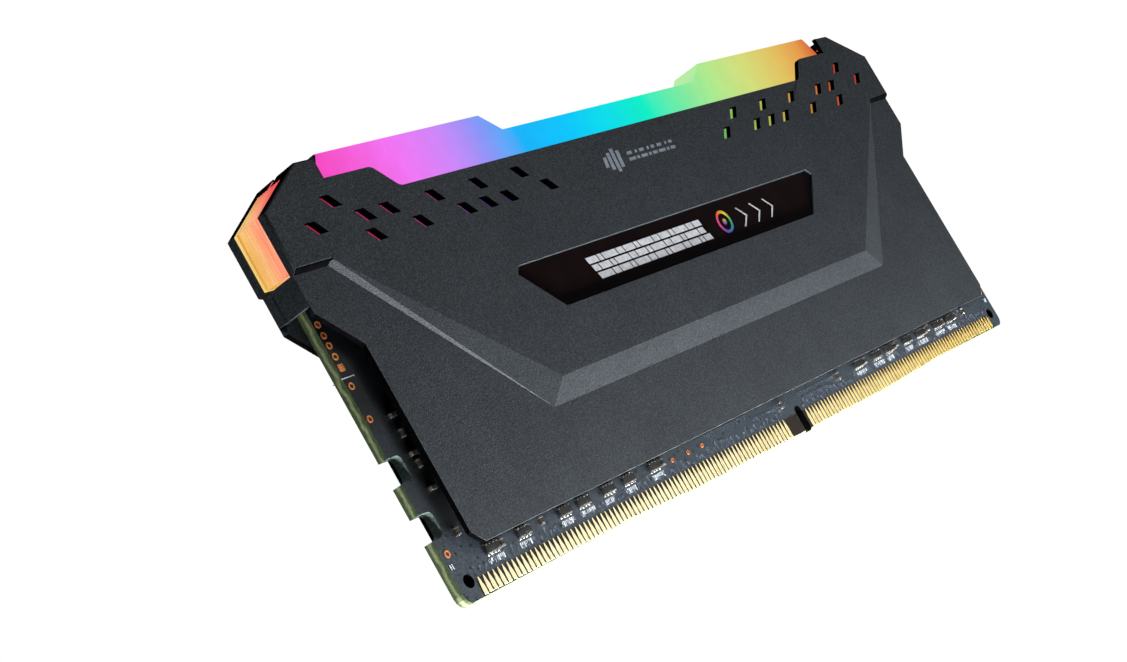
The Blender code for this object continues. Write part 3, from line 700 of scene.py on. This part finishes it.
def contact(bm, x, side):
    """One gold finger: parallel up to its waist, then narrowing to the trace that leaves it."""
    low = edge_height(x) + CONTACT_START
    half = CONTACT_WIDTH / 2
    share, rise = CONTACT_SHOULDER
    right = [(half, low), (half, CONTACT_WAIST_Z), (half * share, CONTACT_WAIST_Z + rise),
             (CONTACT_TIP_WIDTH / 2, CONTACT_TIP_Z)]
    outline = [(x - half, low)] + [(x + dx, z) for dx, z in right] + [(x - dx, z) for dx, z in right[:0:-1]]
    plate(bm, outline, side * (BOARD_FACE - CONTACT_SINK), side * CONTACT_RAISE, edge=0.015 * MM)


def contact_rows():
    """Every row of fingers, as many as fit the row's solid."""
    for side, face in FACES:
        for _, end in ENDS:
            node = f"contacts_{face}_{end}"
            low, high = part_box(node)
            first = low.x + CONTACT_WIDTH / 2
            count = round((high.x - low.x - CONTACT_WIDTH) / CONTACT_PITCH) + 1
            bm = bmesh.new()
            for i in range(count):
                contact(bm, first + i * CONTACT_PITCH, side)
            finish_piece(f"fingers_{face}_{end}", bm, [GOLD], [node])


def trace(bm, path, side, width=TRACK_WIDTH):
    """A raised track under the mask along a path in XZ, one flat bar for each stretch."""
    for (x0, z0), (x1, z1) in zip(path, path[1:]):
        run = Vector((x1 - x0, z1 - z0))
        if run.length < WELD:
            continue
        across = Vector((-run.y, run.x)).normalized() * width / 2
        along = run.normalized() * width / 2
        a, b = Vector((x0, z0)) - along, Vector((x1, z1)) + along
        plate(bm, [tuple(a - across), tuple(b - across), tuple(b + across), tuple(a + across)],
              side * (BOARD_FACE - SINK), side * TRACK_RAISE)


def meander(bm, rng, x, stop, z, side):
    """A track that steps up and down on its way along the board."""
    path = [(x, z)]
    swing = MEANDER_SWING
    while x < stop:
        step = MEANDER_STEP * rng.uniform(0.8, 1.4)
        path += [(x, z + swing), (x + step, z + swing)]
        x += step
        swing = -swing
    trace(bm, path, side, MEANDER_WIDTH)


def traces():
    """Short tracks from the contacts to their vias, and meandering ones about the key notch."""
    for side, face in FACES:
        rng = random.Random(TRACK_SEEDS[side])
        bm = bmesh.new()
        for _, end in ENDS:
            low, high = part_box(f"contacts_{face}_{end}")
            x = low.x + CONTACT_WIDTH / 2
            while x < high.x:
                jog = rng.choice(TRACK_JOGS) * MM
                rise = rng.uniform(*TRACK_RISE) * MM
                top = (x + jog, CONTACT_TIP_Z + rise + abs(jog))
                trace(bm, [(x, CONTACT_TIP_Z), (x, CONTACT_TIP_Z + rise * 0.5), top], side)
                ring(bm, *top, *TRACK_RING, side * (BOARD_FACE - SINK), side * 0.024 * MM, steps=8)
                x += CONTACT_PITCH
        for start, stop, z in MEANDERS:
            meander(bm, rng, start * MM, stop * MM, z * MM, side)
        turned_out(bm)
        finish_piece(f"traces_{face}", bm, [TRACK])


def via(bm, x, z, radii, side):
    """A copper ring round a filled hole."""
    inner, outer = radii
    base, rise = side * (BOARD_FACE - SINK), side * VIA_RAISE
    ring(bm, x, z, inner, outer, base, rise)
    disc(bm, x, z, inner + 0.01 * MM, base, rise * 0.6, material=1)


def vias():
    """The plated holes at both ends of the board, one on a square pad, and three small ones."""
    for side, face in FACES:
        bm = bmesh.new()
        for end in (LEFT, RIGHT):
            for x, z, square in VIAS:
                x, z = end * x * MM, z * MM
                if square:
                    pad = slanted(x - VIA_PAD / 2, z - VIA_PAD / 2, VIA_PAD, VIA_PAD, 0.0)
                    plate(bm, pad, side * (BOARD_FACE - SINK), side * VIA_RAISE * 0.8, edge=0.01 * MM)
                via(bm, x, z, VIA_RADII, side)
        for x in SMALL_VIAS_X:
            via(bm, x * MM, SMALL_VIAS_Z, SMALL_VIA_RADII, side)
        turned_out(bm)
        finish_piece(f"plated_holes_{face}", bm, [COPPER, COPPER_DARK])


def capacitor(bm, x, y, z, size=CAPACITOR_SIZE, upright=False, side=FRONT, body=0):
    """A small part on the board at depth y; body is its material, and 1 is that of its tinned ends."""
    length, width, height = size

    def laid(reach):
        return (width, height, reach) if upright else (reach, height, width)

    out = y + side * height / 2
    block(bm, (x, out, z), tuple(s * 0.94 for s in laid(length)), 0.03 * MM, 1, body)
    for end in (-1, 1):
        shift = end * length * 0.36
        dx, dz = (0.0, shift) if upright else (shift, 0.0)
        block(bm, (x + dx, out, z + dz), laid(length * 0.28), 0.05 * MM, 2, 1)


def resistor_arrays():
    """Black arrays with four pairs of tinned terminals, most of them beside a small capacitor."""
    rng = random.Random(5)
    for number, node in enumerate(numbered("resistor_array"), 1):
        low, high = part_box(node)
        middle, size = (low + high) / 2, high - low
        bm = bmesh.new()
        block(bm, tuple(middle), (size.x * 0.96, size.y * 0.9, size.z * 0.72), 0.04 * MM, 2, 0)
        block(bm, (middle.x, low.y + size.y * 0.1, middle.z), (size.x * 0.86, size.y * 0.12, size.z * 0.42),
              0.015 * MM, 1, 2)
        for i in range(ARRAY_TERMINALS):
            x = middle.x + (i - (ARRAY_TERMINALS - 1) / 2) * size.x * 0.245
            for end in (-1, 1):
                block(bm, (x, middle.y, middle.z + end * size.z * 0.41),
                      (size.x * 0.11, size.y * 0.96, size.z * 0.15), 0.03 * MM, 2, 1)
                block(bm, (x, high.y - 0.02 * MM, middle.z + end * size.z * 0.56),
                      (size.x * 0.11, 0.08 * MM, size.z * 0.12), 0.02 * MM, 1, 1)
        if rng.random() < ARRAY_CAPACITOR_SHARE:
            x = high.x + 0.55 * MM
            capacitor(bm, x, high.y, middle.z, ARRAY_CAPACITOR_SIZE, upright=True, body=3)
        turned_out(bm)
        finish_piece(f"array_{number}", bm, [RESISTOR, TIN, RESISTOR_TOP, CERAMIC], [node])


def board_capacitors():
    """Small capacitors down both ends of the board, near the notch and between the arrays."""
    bm = bmesh.new()
    for end in (LEFT, RIGHT):
        for z, upright in END_CAPACITORS:
            for side in (FRONT, REAR):
                capacitor(bm, end * END_CAPACITOR_X, side * BOARD_FACE, z * MM, upright=upright, side=side)
    for x, z in ROW_CAPACITORS:
        for side in (FRONT, REAR):
            capacitor(bm, -side * x * MM, side * BOARD_FACE, z * MM, upright=True, side=side)
    turned_out(bm)
    finish_piece("board_capacitors", bm, [CERAMIC, TIN])


def board_print():
    """Plain white dashes beside the parts, and a pin-one mark."""
    rng = random.Random(3)
    bm = bmesh.new()
    arrays = sorted((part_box(n) for n in numbered("resistor_array")), key=lambda pair: pair[0].x)
    for side in (FRONT, REAR):
        base, rise = side * (BOARD_FACE - PRINT_SINK), side * PRINT_RAISE
        for low, _ in arrays:
            x = low.x + rng.uniform(-0.2, 0.2) * MM
            for _ in range(rng.choice((8, 10, 11))):
                width = rng.choice(PRINT_WIDTHS) * MM
                bottom = rng.choice(PRINT_BOTTOMS) * MM
                plate(bm, slanted(side * -x, bottom, width, PRINT_TOP - bottom, PRINT_LEAN), base, rise)
                x += width + PRINT_GAP
        for end in (LEFT, RIGHT):
            for shift, bottom, width, height in END_PRINT:
                dash = slanted(end * END_PRINT_X + shift * MM, bottom * MM, width * MM, height * MM, 0.0)
                plate(bm, dash, base, rise)
    turned_out(bm)
    finish_piece("board_print", bm, [WHITE_INK])


# ---------------------------------------------------------------- packages

def ball_grid(bm, low, high, board_y, chip_y, material):
    """Solder balls in two blocks of columns between a chip and the board."""
    middle = (low + high) / 2
    radius = abs(chip_y - board_y) * 0.62
    swell = Matrix.Diagonal((radius * 1.3, radius, radius * 1.3, 1.0))
    for half in (-1, 1):
        for column in range(BALL_COLUMNS):
            x = middle.x + half * (BALL_FIRST_X + column * BALL_PITCH)
            for row in range(BALL_ROWS):
                z = middle.z + (row - BALL_ROWS // 2) * BALL_PITCH
                place = Matrix.Translation((x, (board_y + chip_y) / 2, z)) @ swell
                ball = bmesh.ops.create_uvsphere(bm, u_segments=6, v_segments=4, radius=1.0, matrix=place)
                for face in {f for v in ball["verts"] for f in v.link_faces}:
                    face.material_index = material


def memory_chips():
    """Each memory chip: balls on the board, a thin substrate and a moulded cap with a corner dimple."""
    substrate = BOARD_FACE + SUBSTRATE_GAP
    cap = substrate + SUBSTRATE_THICKNESS
    for node in sorted(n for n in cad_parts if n.startswith("memory_chip")):
        low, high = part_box(node)
        middle, size = (low + high) / 2, high - low
        side = FRONT if high.y < 0 else REAR
        outer = abs(low.y if side == FRONT else high.y)
        bm = bmesh.new()
        ball_grid(bm, low, high, side * BOARD_FACE, side * substrate, 2)
        block(bm, (middle.x, side * (substrate + cap) / 2, middle.z), (size.x, cap - substrate, size.z),
              0.02 * MM, 1, 1)
        block(bm, (middle.x, side * (cap + outer) / 2, middle.z),
              (size.x * 0.985, outer - cap, size.z * 0.99), 0.08 * MM, 2, 0)
        ring(bm, low.x + DIMPLE_INSET, high.z - DIMPLE_INSET, 0.3 * MM, 0.36 * MM,
             side * (outer - 0.02 * MM), side * 0.025 * MM, steps=16)
        name = node.replace("memory_chip", "chip_package")
        finish_piece(name, bm, [CHIP, SUBSTRATE, TIN], [node])


def flat_package(node, name, pins):
    """A small flat package with terminals along its edges."""
    low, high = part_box(node)
    middle, size = (low + high) / 2, high - low
    bm = bmesh.new()
    block(bm, tuple(middle), (size.x * 0.96, size.y, size.z * 0.96), 0.06 * MM, 2, 0)
    ring(bm, low.x + size.x * 0.18, high.z - size.z * 0.18, size.x * 0.04, size.x * 0.055,
         low.y + 0.015 * MM, -0.02 * MM, steps=14)
    reach = (pins - 1) / 2
    for i in range(pins):
        shift = (i - reach) / pins * 0.9
        for end in (-1, 1):
            block(bm, (middle.x + shift * size.x, high.y - 0.06 * MM, middle.z + end * size.z * 0.49),
                  (size.x * 0.5 / pins, 0.16 * MM, size.z * 0.08), 0.02 * MM, 1, 1)
            block(bm, (middle.x + end * size.x * 0.49, high.y - 0.06 * MM, middle.z + shift * size.z),
                  (size.x * 0.08, 0.16 * MM, size.z * 0.5 / pins), 0.02 * MM, 1, 1)
    turned_out(bm)
    finish_piece(name, bm, [CHIP, TIN], [node])


def lamps():
    """White lamp housings with a gel window on top and tinned feet at both ends."""
    for number, node in enumerate(numbered("led_"), 1):
        low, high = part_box(node)
        middle, size = (low + high) / 2, high - low
        bm = bmesh.new()
        block(bm, tuple(middle), (size.x * 0.86, size.y, size.z), 0.06 * MM, 2, 0)
        block(bm, (middle.x, middle.y, high.z - 0.05 * MM), (size.x * 0.62, size.y * 0.62, 0.14 * MM),
              0.04 * MM, 2, 1)
        for end in (-1, 1):
            block(bm, (middle.x + end * size.x * 0.45, middle.y, middle.z - size.z * 0.1),
                  (size.x * 0.1, size.y * 0.9, size.z * 0.6), 0.04 * MM, 2, 2)
        turned_out(bm)
        finish_piece(f"lamp_{number}", bm, [HOUSING, GEL, TIN], [node])


def thermal_pads():
    """The two soft pads, with rounded edges."""
    for _, face in FACES:
        node = f"thermal_pad_{face}"
        bm = merged_copy(node)
        bevel(bm, sharp_edges(bm), 0.06 * MM, 2)
        finish_piece(f"soft_pad_{face}", bm, [PAD], [node])


# ---------------------------------------------------------------- spreaders, bar and ends

def is_hole_side(edge):
    """Whether an edge belongs to one of the small slanted holes below the bar."""
    inside = all(within(v.co.z, HOLE_ZONE_Z) and within(abs(v.co.x), HOLE_ZONE_X) for v in edge.verts)
    return inside and edge.calc_length() < HOLE_SIDE


def spreaders():
    """The folded sheets with rounded bends and softened cut edges; their cut faces and the downward faces of
    the upper step are painted near-black as shade.
    """
    for side, face in FACES:
        node = f"heat_spreader_{face}"
        bm = merged_copy(node)
        skin = abs(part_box(node)[0 if side == FRONT else 1].y)
        bends = [
            e for e in sharp_edges(bm, 35)
            if all(abs(v.co.y) > skin - 0.01 * MM and v.co.z > HORN_START_Z for v in e.verts)
            and e.calc_length() > 1.2 * MM
            and any(abs(v.co.x) > HORN_START_X for v in e.verts) and not is_hole_side(e)
        ]
        bevel(bm, bends, 0.22 * MM, 3)
        bevel(bm, [e for e in sharp_edges(bm, 48) if not is_hole_side(e)], 0.05 * MM, 1)
        # Painted shade: cut faces and the downward faces of the upper step take the near-black shade coat.
        for cut in bm.faces:
            x, _, z = cut.calc_center_median()
            in_pocket = abs(x) < POCKET_HALF and within(z, POCKET_HEIGHTS)
            upper_step = abs(x) > STEP_START_X and within(z, STEP_HEIGHTS) and cut.normal.z < -0.1
            if (abs(cut.normal.y) < 0.6 or upper_step) and abs(x) <= END_WALL_X and not in_pocket:
                cut.material_index = 1
        finish_piece(f"spreader_{face}", bm, [COAT, PAINTED_SHADE], [node], smooth=35.0)


def light_bar():
    """The milky bar, with its cut ends against the brackets left black."""
    bm = merged_copy("light_bar")
    for face in bm.faces:
        if abs(face.normal.x) > 0.3 and abs(face.calc_center_median().x) > 50 * MM:
            face.material_index = 1
    finish_piece("lit_bar", bm, [BAR, BRACKET], ["light_bar"], smooth=40.0)


def hole_window(end, row, step):
    """The outline of the painted light patch in one hole, at the hole's inner edge on the left."""
    width, height = HOLE_SIZE
    lean = end * HOLE_LEAN * WINDOW_STRETCH
    x = end * (HOLE_FIRST[0] + step * HOLE_PITCH[0]) - width / 2 + WINDOW_SHIFT - lean / 2
    z = HOLE_FIRST[1] + row * HOLE_PITCH[1] - height * WINDOW_DROP
    return slanted(x, z, WINDOW_WIDTHS[end], height * WINDOW_STRETCH, lean)


def painted_hole_glow():
    """A near-black film behind the slanted holes as painted shade, with a glowing window for each hole as
    painted light.
    """
    sheet = [(FILM_X[0], FILM_Z[0]), (FILM_X[1], FILM_Z[0]), (FILM_X[1], FILM_STEP[1]), FILM_STEP,
             (FILM_STEP[0], FILM_Z[1]), (FILM_X[0], FILM_Z[1])]
    for side, face in FACES:
        bm = bmesh.new()
        deep = -side * FILM_THICKNESS
        for end in (LEFT, RIGHT):
            plate(bm, [(end * x, z) for x, z in sheet], side * FILM_Y, deep)
            for row, steps in enumerate(HOLE_ROWS):
                for step in steps:
                    window = mirrored(hole_window(end, row, step), side)
                    plate(bm, window, side * (FILM_Y + WINDOW_RAISE), deep * 0.4, 1)
        turned_out(bm)
        finish_piece(f"painted_hole_glow_{face}", bm, [PAINTED_SHADE, PAINTED_GLOW])


def strip_section(half):
    """The strip's ribbed section: place across it, and depth below its outer face."""
    section = [(-half, STRIP_THICKNESS)]
    pitch = 2 * half / STRIP_RIBS
    for rib in range(STRIP_RIBS):
        start = -half + pitch * rib
        section += [(start + pitch * 0.02, STRIP_RIB_HEIGHT), (start + pitch * 0.25, STRIP_RIB_HEIGHT * 0.2),
                    (start + pitch * 0.5, 0.0), (start + pitch * 0.75, STRIP_RIB_HEIGHT * 0.2)]
    return section + [(half - 0.01 * MM, STRIP_RIB_HEIGHT), (half, STRIP_THICKNESS)]


def strip_stations(side, low, high):
    """The strip's section at its foot, its mitred corner and its tip."""
    outer = side * max(abs(low.x), abs(high.x))
    corner = Vector((outer, SHOULDER_Z))
    tip = corner + (Vector((side * STRIP_TOP_X, high.z)) - corner) * STRIP_REACH
    slope = (tip - corner).normalized()
    from_wall = Vector((-side, 0.0))
    from_slope = Vector((slope.y, -slope.x)) * -side
    if from_slope.y > 0:
        from_slope = -from_slope
    mitre = (from_wall + from_slope) / (1 + from_wall.dot(from_slope))
    section = strip_section(high.y)
    foot = Vector((outer, low.z - STRIP_DROP))
    for place, inward in ((foot, from_wall), (corner, mitre), (tip, from_slope)):
        points = [(place + inward * depth, y) for y, depth in section]
        yield [Vector((p.x, y, p.y)) for p, y in points]


def end_strips():
    """Ribbed light strips that follow the end wall and the sloping shoulder."""
    for side, end in ENDS:
        node = f"end_diffuser_{end}"
        foot, *rest = strip_stations(side, *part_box(node))
        bm = bmesh.new()
        face = bm.faces.new([bm.verts.new(place) for place in foot])
        before = foot
        for station in rest:
            made = bmesh.ops.extrude_face_region(bm, geom=[face])["geom"]
            face = next(g for g in made if isinstance(g, bmesh.types.BMFace))
            for vert in face.verts:
                nearest = min(range(len(before)), key=lambda i: (before[i] - vert.co).length)
                vert.co = station[nearest]
            before = station
        turned_out(bm)
        finish_piece(f"lit_strip_{end}", bm, [STRIP], [node], smooth=50.0)


def end_brackets():
    """The black plastic that holds the strips, with rounded edges."""
    for _, end in ENDS:
        node = f"end_bracket_{end}"
        bm = merged_copy(node)
        bevel(bm, sharp_edges(bm), 0.12 * MM, 2)
        finish_piece(f"carrier_{end}", bm, [BRACKET], [node])


# ---------------------------------------------------------------- badges, marks and label

def bricks(bm, side, base, rise):
    """The plain pattern on the badge: rows of leaning bricks, each row shifted from the one below."""
    for row in range(BRICK_ROWS):
        x, stop = (place - row * BRICK_ROW_SHIFT for place in BRICK_SPAN)
        z = BRICK_BOTTOM + row * (BRICK_HEIGHT + BRICK_ROW_GAP)
        number = row
        while x < stop:
            wide = min(BRICK_WIDTHS[number % len(BRICK_WIDTHS)] * MM, stop - x)
            if wide > BRICK_MIN:
                plate(bm, mirrored(slanted(x, z, wide, BRICK_HEIGHT, BRICK_LEAN), side), base, rise)
            x += wide + BRICK_GAP
            number += 1


def badge(side, face):
    """The gloss plate with plain marks: leaning bricks, a ring of colours and open chevrons."""
    node = f"badge_{face}"
    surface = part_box(node)[0 if side == FRONT else 1].y
    bm = merged_copy(node)
    rim = [e for e in sharp_edges(bm) if all(abs(v.co.y - surface) < WELD for v in e.verts)]
    bevel(bm, rim, 0.05 * MM, 2)
    finish_piece(f"badge_plate_{face}", bm, [BADGE], [node])

    base, rise = surface - side * SINK, side * MARK_RAISE
    bars = bmesh.new()
    bricks(bars, side, base, rise)
    turned_out(bars)
    finish_piece(f"badge_bricks_{face}", bars, [PALE_INK])

    centre = Vector((RING_CENTRE.x * -side, 0.0, RING_CENTRE.z))
    wheel = bmesh.new()
    ring(wheel, centre.x, centre.z, *RING_RADII, base, rise, steps=48)
    disc(wheel, centre.x, centre.z, RING_DOT, base, rise, steps=20)
    finish_piece(f"badge_ring_{face}", wheel, [wheel_ink(centre)])

    chevrons = bmesh.new()
    bottom, point, top = CHEVRON_HEIGHTS
    for i in range(CHEVRONS):
        x = (CHEVRON_START + i * CHEVRON_PITCH) * MM
        arm = [(x, bottom), (x + CHEVRON_WIDTH, bottom), (x + 1.9 * MM, point), (x + CHEVRON_WIDTH, top),
               (x, top), (x + 1.5 * MM, point)]
        plate(chevrons, mirrored(arm, side), base, rise)
    turned_out(chevrons)
    finish_piece(f"badge_chevrons_{face}", chevrons, [PALE_INK])


def maker_mark(side, face):
    """A plain grey mark on the plateau: a leaning bar group and a row of short strokes."""
    base, rise = side * (PLATEAU_Y + SINK), side * 0.012 * MM
    bm = bmesh.new()
    for i, (height, lift) in enumerate(EMBLEM_BARS):
        x, z = (EMBLEM_X + i * EMBLEM_PITCH) * MM, (EMBLEM_Z + lift) * MM
        bar = slanted(x, z, 0.7 * MM, height * MM, 0.35 * MM)
        plate(bm, mirrored(bar, side), base, rise)
    x = STROKE_START
    lower, upper = STROKE_ROWS
    for width in STROKE_WIDTHS:
        for start, z, wide in ((x, lower, width * MM), (x + 0.2 * MM, upper, width * 0.7 * MM)):
            plate(bm, mirrored(slanted(start, z, wide, STROKE_HEIGHT, STROKE_LEAN), side), base, rise)
        x += (width + STROKE_GAP) * MM
    turned_out(bm)
    finish_piece(f"plateau_mark_{face}", bm, [GREY_INK])


def rear_label():
    """A blank film label with rounded corners and an empty printed frame."""
    low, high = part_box("label_rear")
    radius = 0.8 * MM
    outline = []
    for cx, cz, start in ((high.x - radius, high.z - radius, 0), (low.x + radius, high.z - radius, 90),
                          (low.x + radius, low.z + radius, 180), (high.x - radius, low.z + radius, 270)):
        for step in range(7):
            angle = math.radians(start + step * 15)
            outline.append((cx + radius * math.cos(angle), cz + radius * math.sin(angle)))
    bm = bmesh.new()
    plate(bm, outline, low.y, high.y - low.y, edge=0.03 * MM)
    surface = high.y - 0.003 * MM
    for z in (low.z + 0.8 * MM, high.z - 0.95 * MM):
        line = slanted(low.x + 1.2 * MM, z, high.x - low.x - 2.4 * MM, 0.12 * MM, 0.0)
        plate(bm, line, surface, 0.012 * MM, 1)
    for row in range(3):
        start = low.x + 3.0 * MM
        for i in range(3):
            field = slanted(start, low.z + (1.9 + row * 1.2) * MM, (9.0 - row * 2 + i) * MM, 0.34 * MM, 0.0)
            plate(bm, field, surface, 0.012 * MM, 1)
            start += (12.0 + i) * MM
    turned_out(bm)
    finish_piece("rear_label", bm, [FILM, GREY_INK], ["label_rear"])


# ---------------------------------------------------------------- studio

def backdrop(scene):
    """White paper to the eye, and a dim cool sky for everything else."""
    world = bpy.data.worlds.new("studio")
    scene.world = world
    world.use_nodes = True
    tree = world.node_tree
    sky = tree.nodes["Background"]
    sky.inputs["Color"].default_value = (0.80, 0.86, 0.92, 1.0)
    sky.inputs["Strength"].default_value = 0.13
    paper = tree.nodes.new("ShaderNodeBackground")
    paper.inputs["Color"].default_value = (1.0, 1.0, 1.0, 1.0)
    paper.inputs["Strength"].default_value = 1.02
    seen = tree.nodes.new("ShaderNodeLightPath")
    mix = tree.nodes.new("ShaderNodeMixShader")
    tree.links.new(seen.outputs["Is Camera Ray"], mix.inputs["Fac"])
    tree.links.new(sky.outputs["Background"], mix.inputs[1])
    tree.links.new(paper.outputs["Background"], mix.inputs[2])
    tree.links.new(mix.outputs["Shader"], tree.nodes["World Output"].inputs["Surface"])


def studio_ground(scene):
    bm = bmesh.new()
    place = Matrix.Translation((0, 0, FLOOR_Z))
    bmesh.ops.create_grid(bm, x_segments=8, y_segments=8, size=FLOOR_SIZE, matrix=place)
    mesh = bpy.data.meshes.new("floor")
    bm.to_mesh(mesh)
    bm.free()
    mesh.materials.append(studio_floor())
    floor = bpy.data.objects.new("floor", mesh)
    scene.collection.objects.link(floor)


def main_camera(scene):
    camera = bpy.data.objects.new("camera", bpy.data.cameras.new("camera"))
    scene.collection.objects.link(camera)
    camera.data.lens = CAMERA_LENS
    camera.data.sensor_width = 36.0
    camera.data.clip_start = 0.01
    turn = Matrix.Rotation(CAMERA_AZIMUTH, 4, "Z") @ Matrix.Rotation(math.pi / 2 - CAMERA_ELEVATION, 4, "X")
    camera.matrix_world = Matrix.Translation(CAMERA_PLACE) @ turn @ Matrix.Rotation(CAMERA_ROLL, 4, "Z")
    scene.camera = camera


def studio():
    """The plain studio: backdrop, floor, softboxes and camera."""
    scene = bpy.context.scene
    scene.view_settings.view_transform = "Standard"
    backdrop(scene)
    studio_ground(scene)
    for box in SOFTBOXES:
        softbox(*box)
    main_camera(scene)


def softbox(name, place, target, width, height, watts):
    """A rectangular light that shines from place to target and isn't seen itself."""
    light = bpy.data.lights.new(name, "AREA")
    light.shape = "RECTANGLE"
    light.size = width
    light.size_y = height
    light.energy = watts
    lamp = bpy.data.objects.new(name, light)
    bpy.context.scene.collection.objects.link(lamp)
    lamp.location = place
    lamp.rotation_euler = (Vector(target) - Vector(place)).to_track_quat("-Z", "Y").to_euler()
    lamp.visible_camera = False


# ---------------------------------------------------------------- the module

COAT = powder_coat()
MASK = solder_mask()
TRACK = ink("masked_copper", (46, 53, 64), (84, 94, 108))
LAMINATE = laminate()
NOTCH = notch_glass()
GOLD = gold_plating()
COPPER = copper_ring()
COPPER_DARK = ink("hole_fill", (44, 16, 8), (92, 40, 18))
TIN = tinned()
CHIP = chip_moulding()
RESISTOR = chip_moulding("resistor_film", (6, 6, 7), (16, 16, 18))
RESISTOR_TOP = chip_moulding("resistor_glaze", (3, 3, 4), (9, 9, 10))
SUBSTRATE = chip_moulding("chip_substrate", (20, 46, 34), (34, 66, 50))
CERAMIC = capacitor_ceramic()
HOUSING = white_moulding()
GEL = lamp_gel()
PAD = pad_rubber()
BAR = light_guide()
# Painted light for the glowing patches in the spreader holes.
PAINTED_GLOW = painted_hole_light()
STRIP = strip_guide()
BRACKET = black_moulding()
BADGE = badge_gloss()
# Painted shade: a near-black coat put on notch and hole walls, spreader cut faces and the film behind the
# holes, where shade falls.
PAINTED_SHADE = chip_moulding("painted_shade_coat", (4, 4, 5), (9, 9, 10), gloss=0.0)
WHITE_INK = ink("white_ink", (150, 158, 166), (204, 210, 216))
PALE_INK = ink("pale_ink", (176, 178, 184), (214, 216, 220))
GREY_INK = ink("grey_ink", (116, 126, 136), (146, 156, 166))
FILM = label_film()

board()
contact_rows()
traces()
vias()
resistor_arrays()
board_capacitors()
board_print()
memory_chips()
flat_package("spd_chip", "sensor_package", 3)
flat_package("lighting_controller", "controller_package", 6)
lamps()
thermal_pads()
spreaders()
light_bar()
painted_hole_glow()
end_strips()
end_brackets()
for side, face in FACES:
    badge(side, face)
    maker_mark(side, face)
rear_label()
studio()
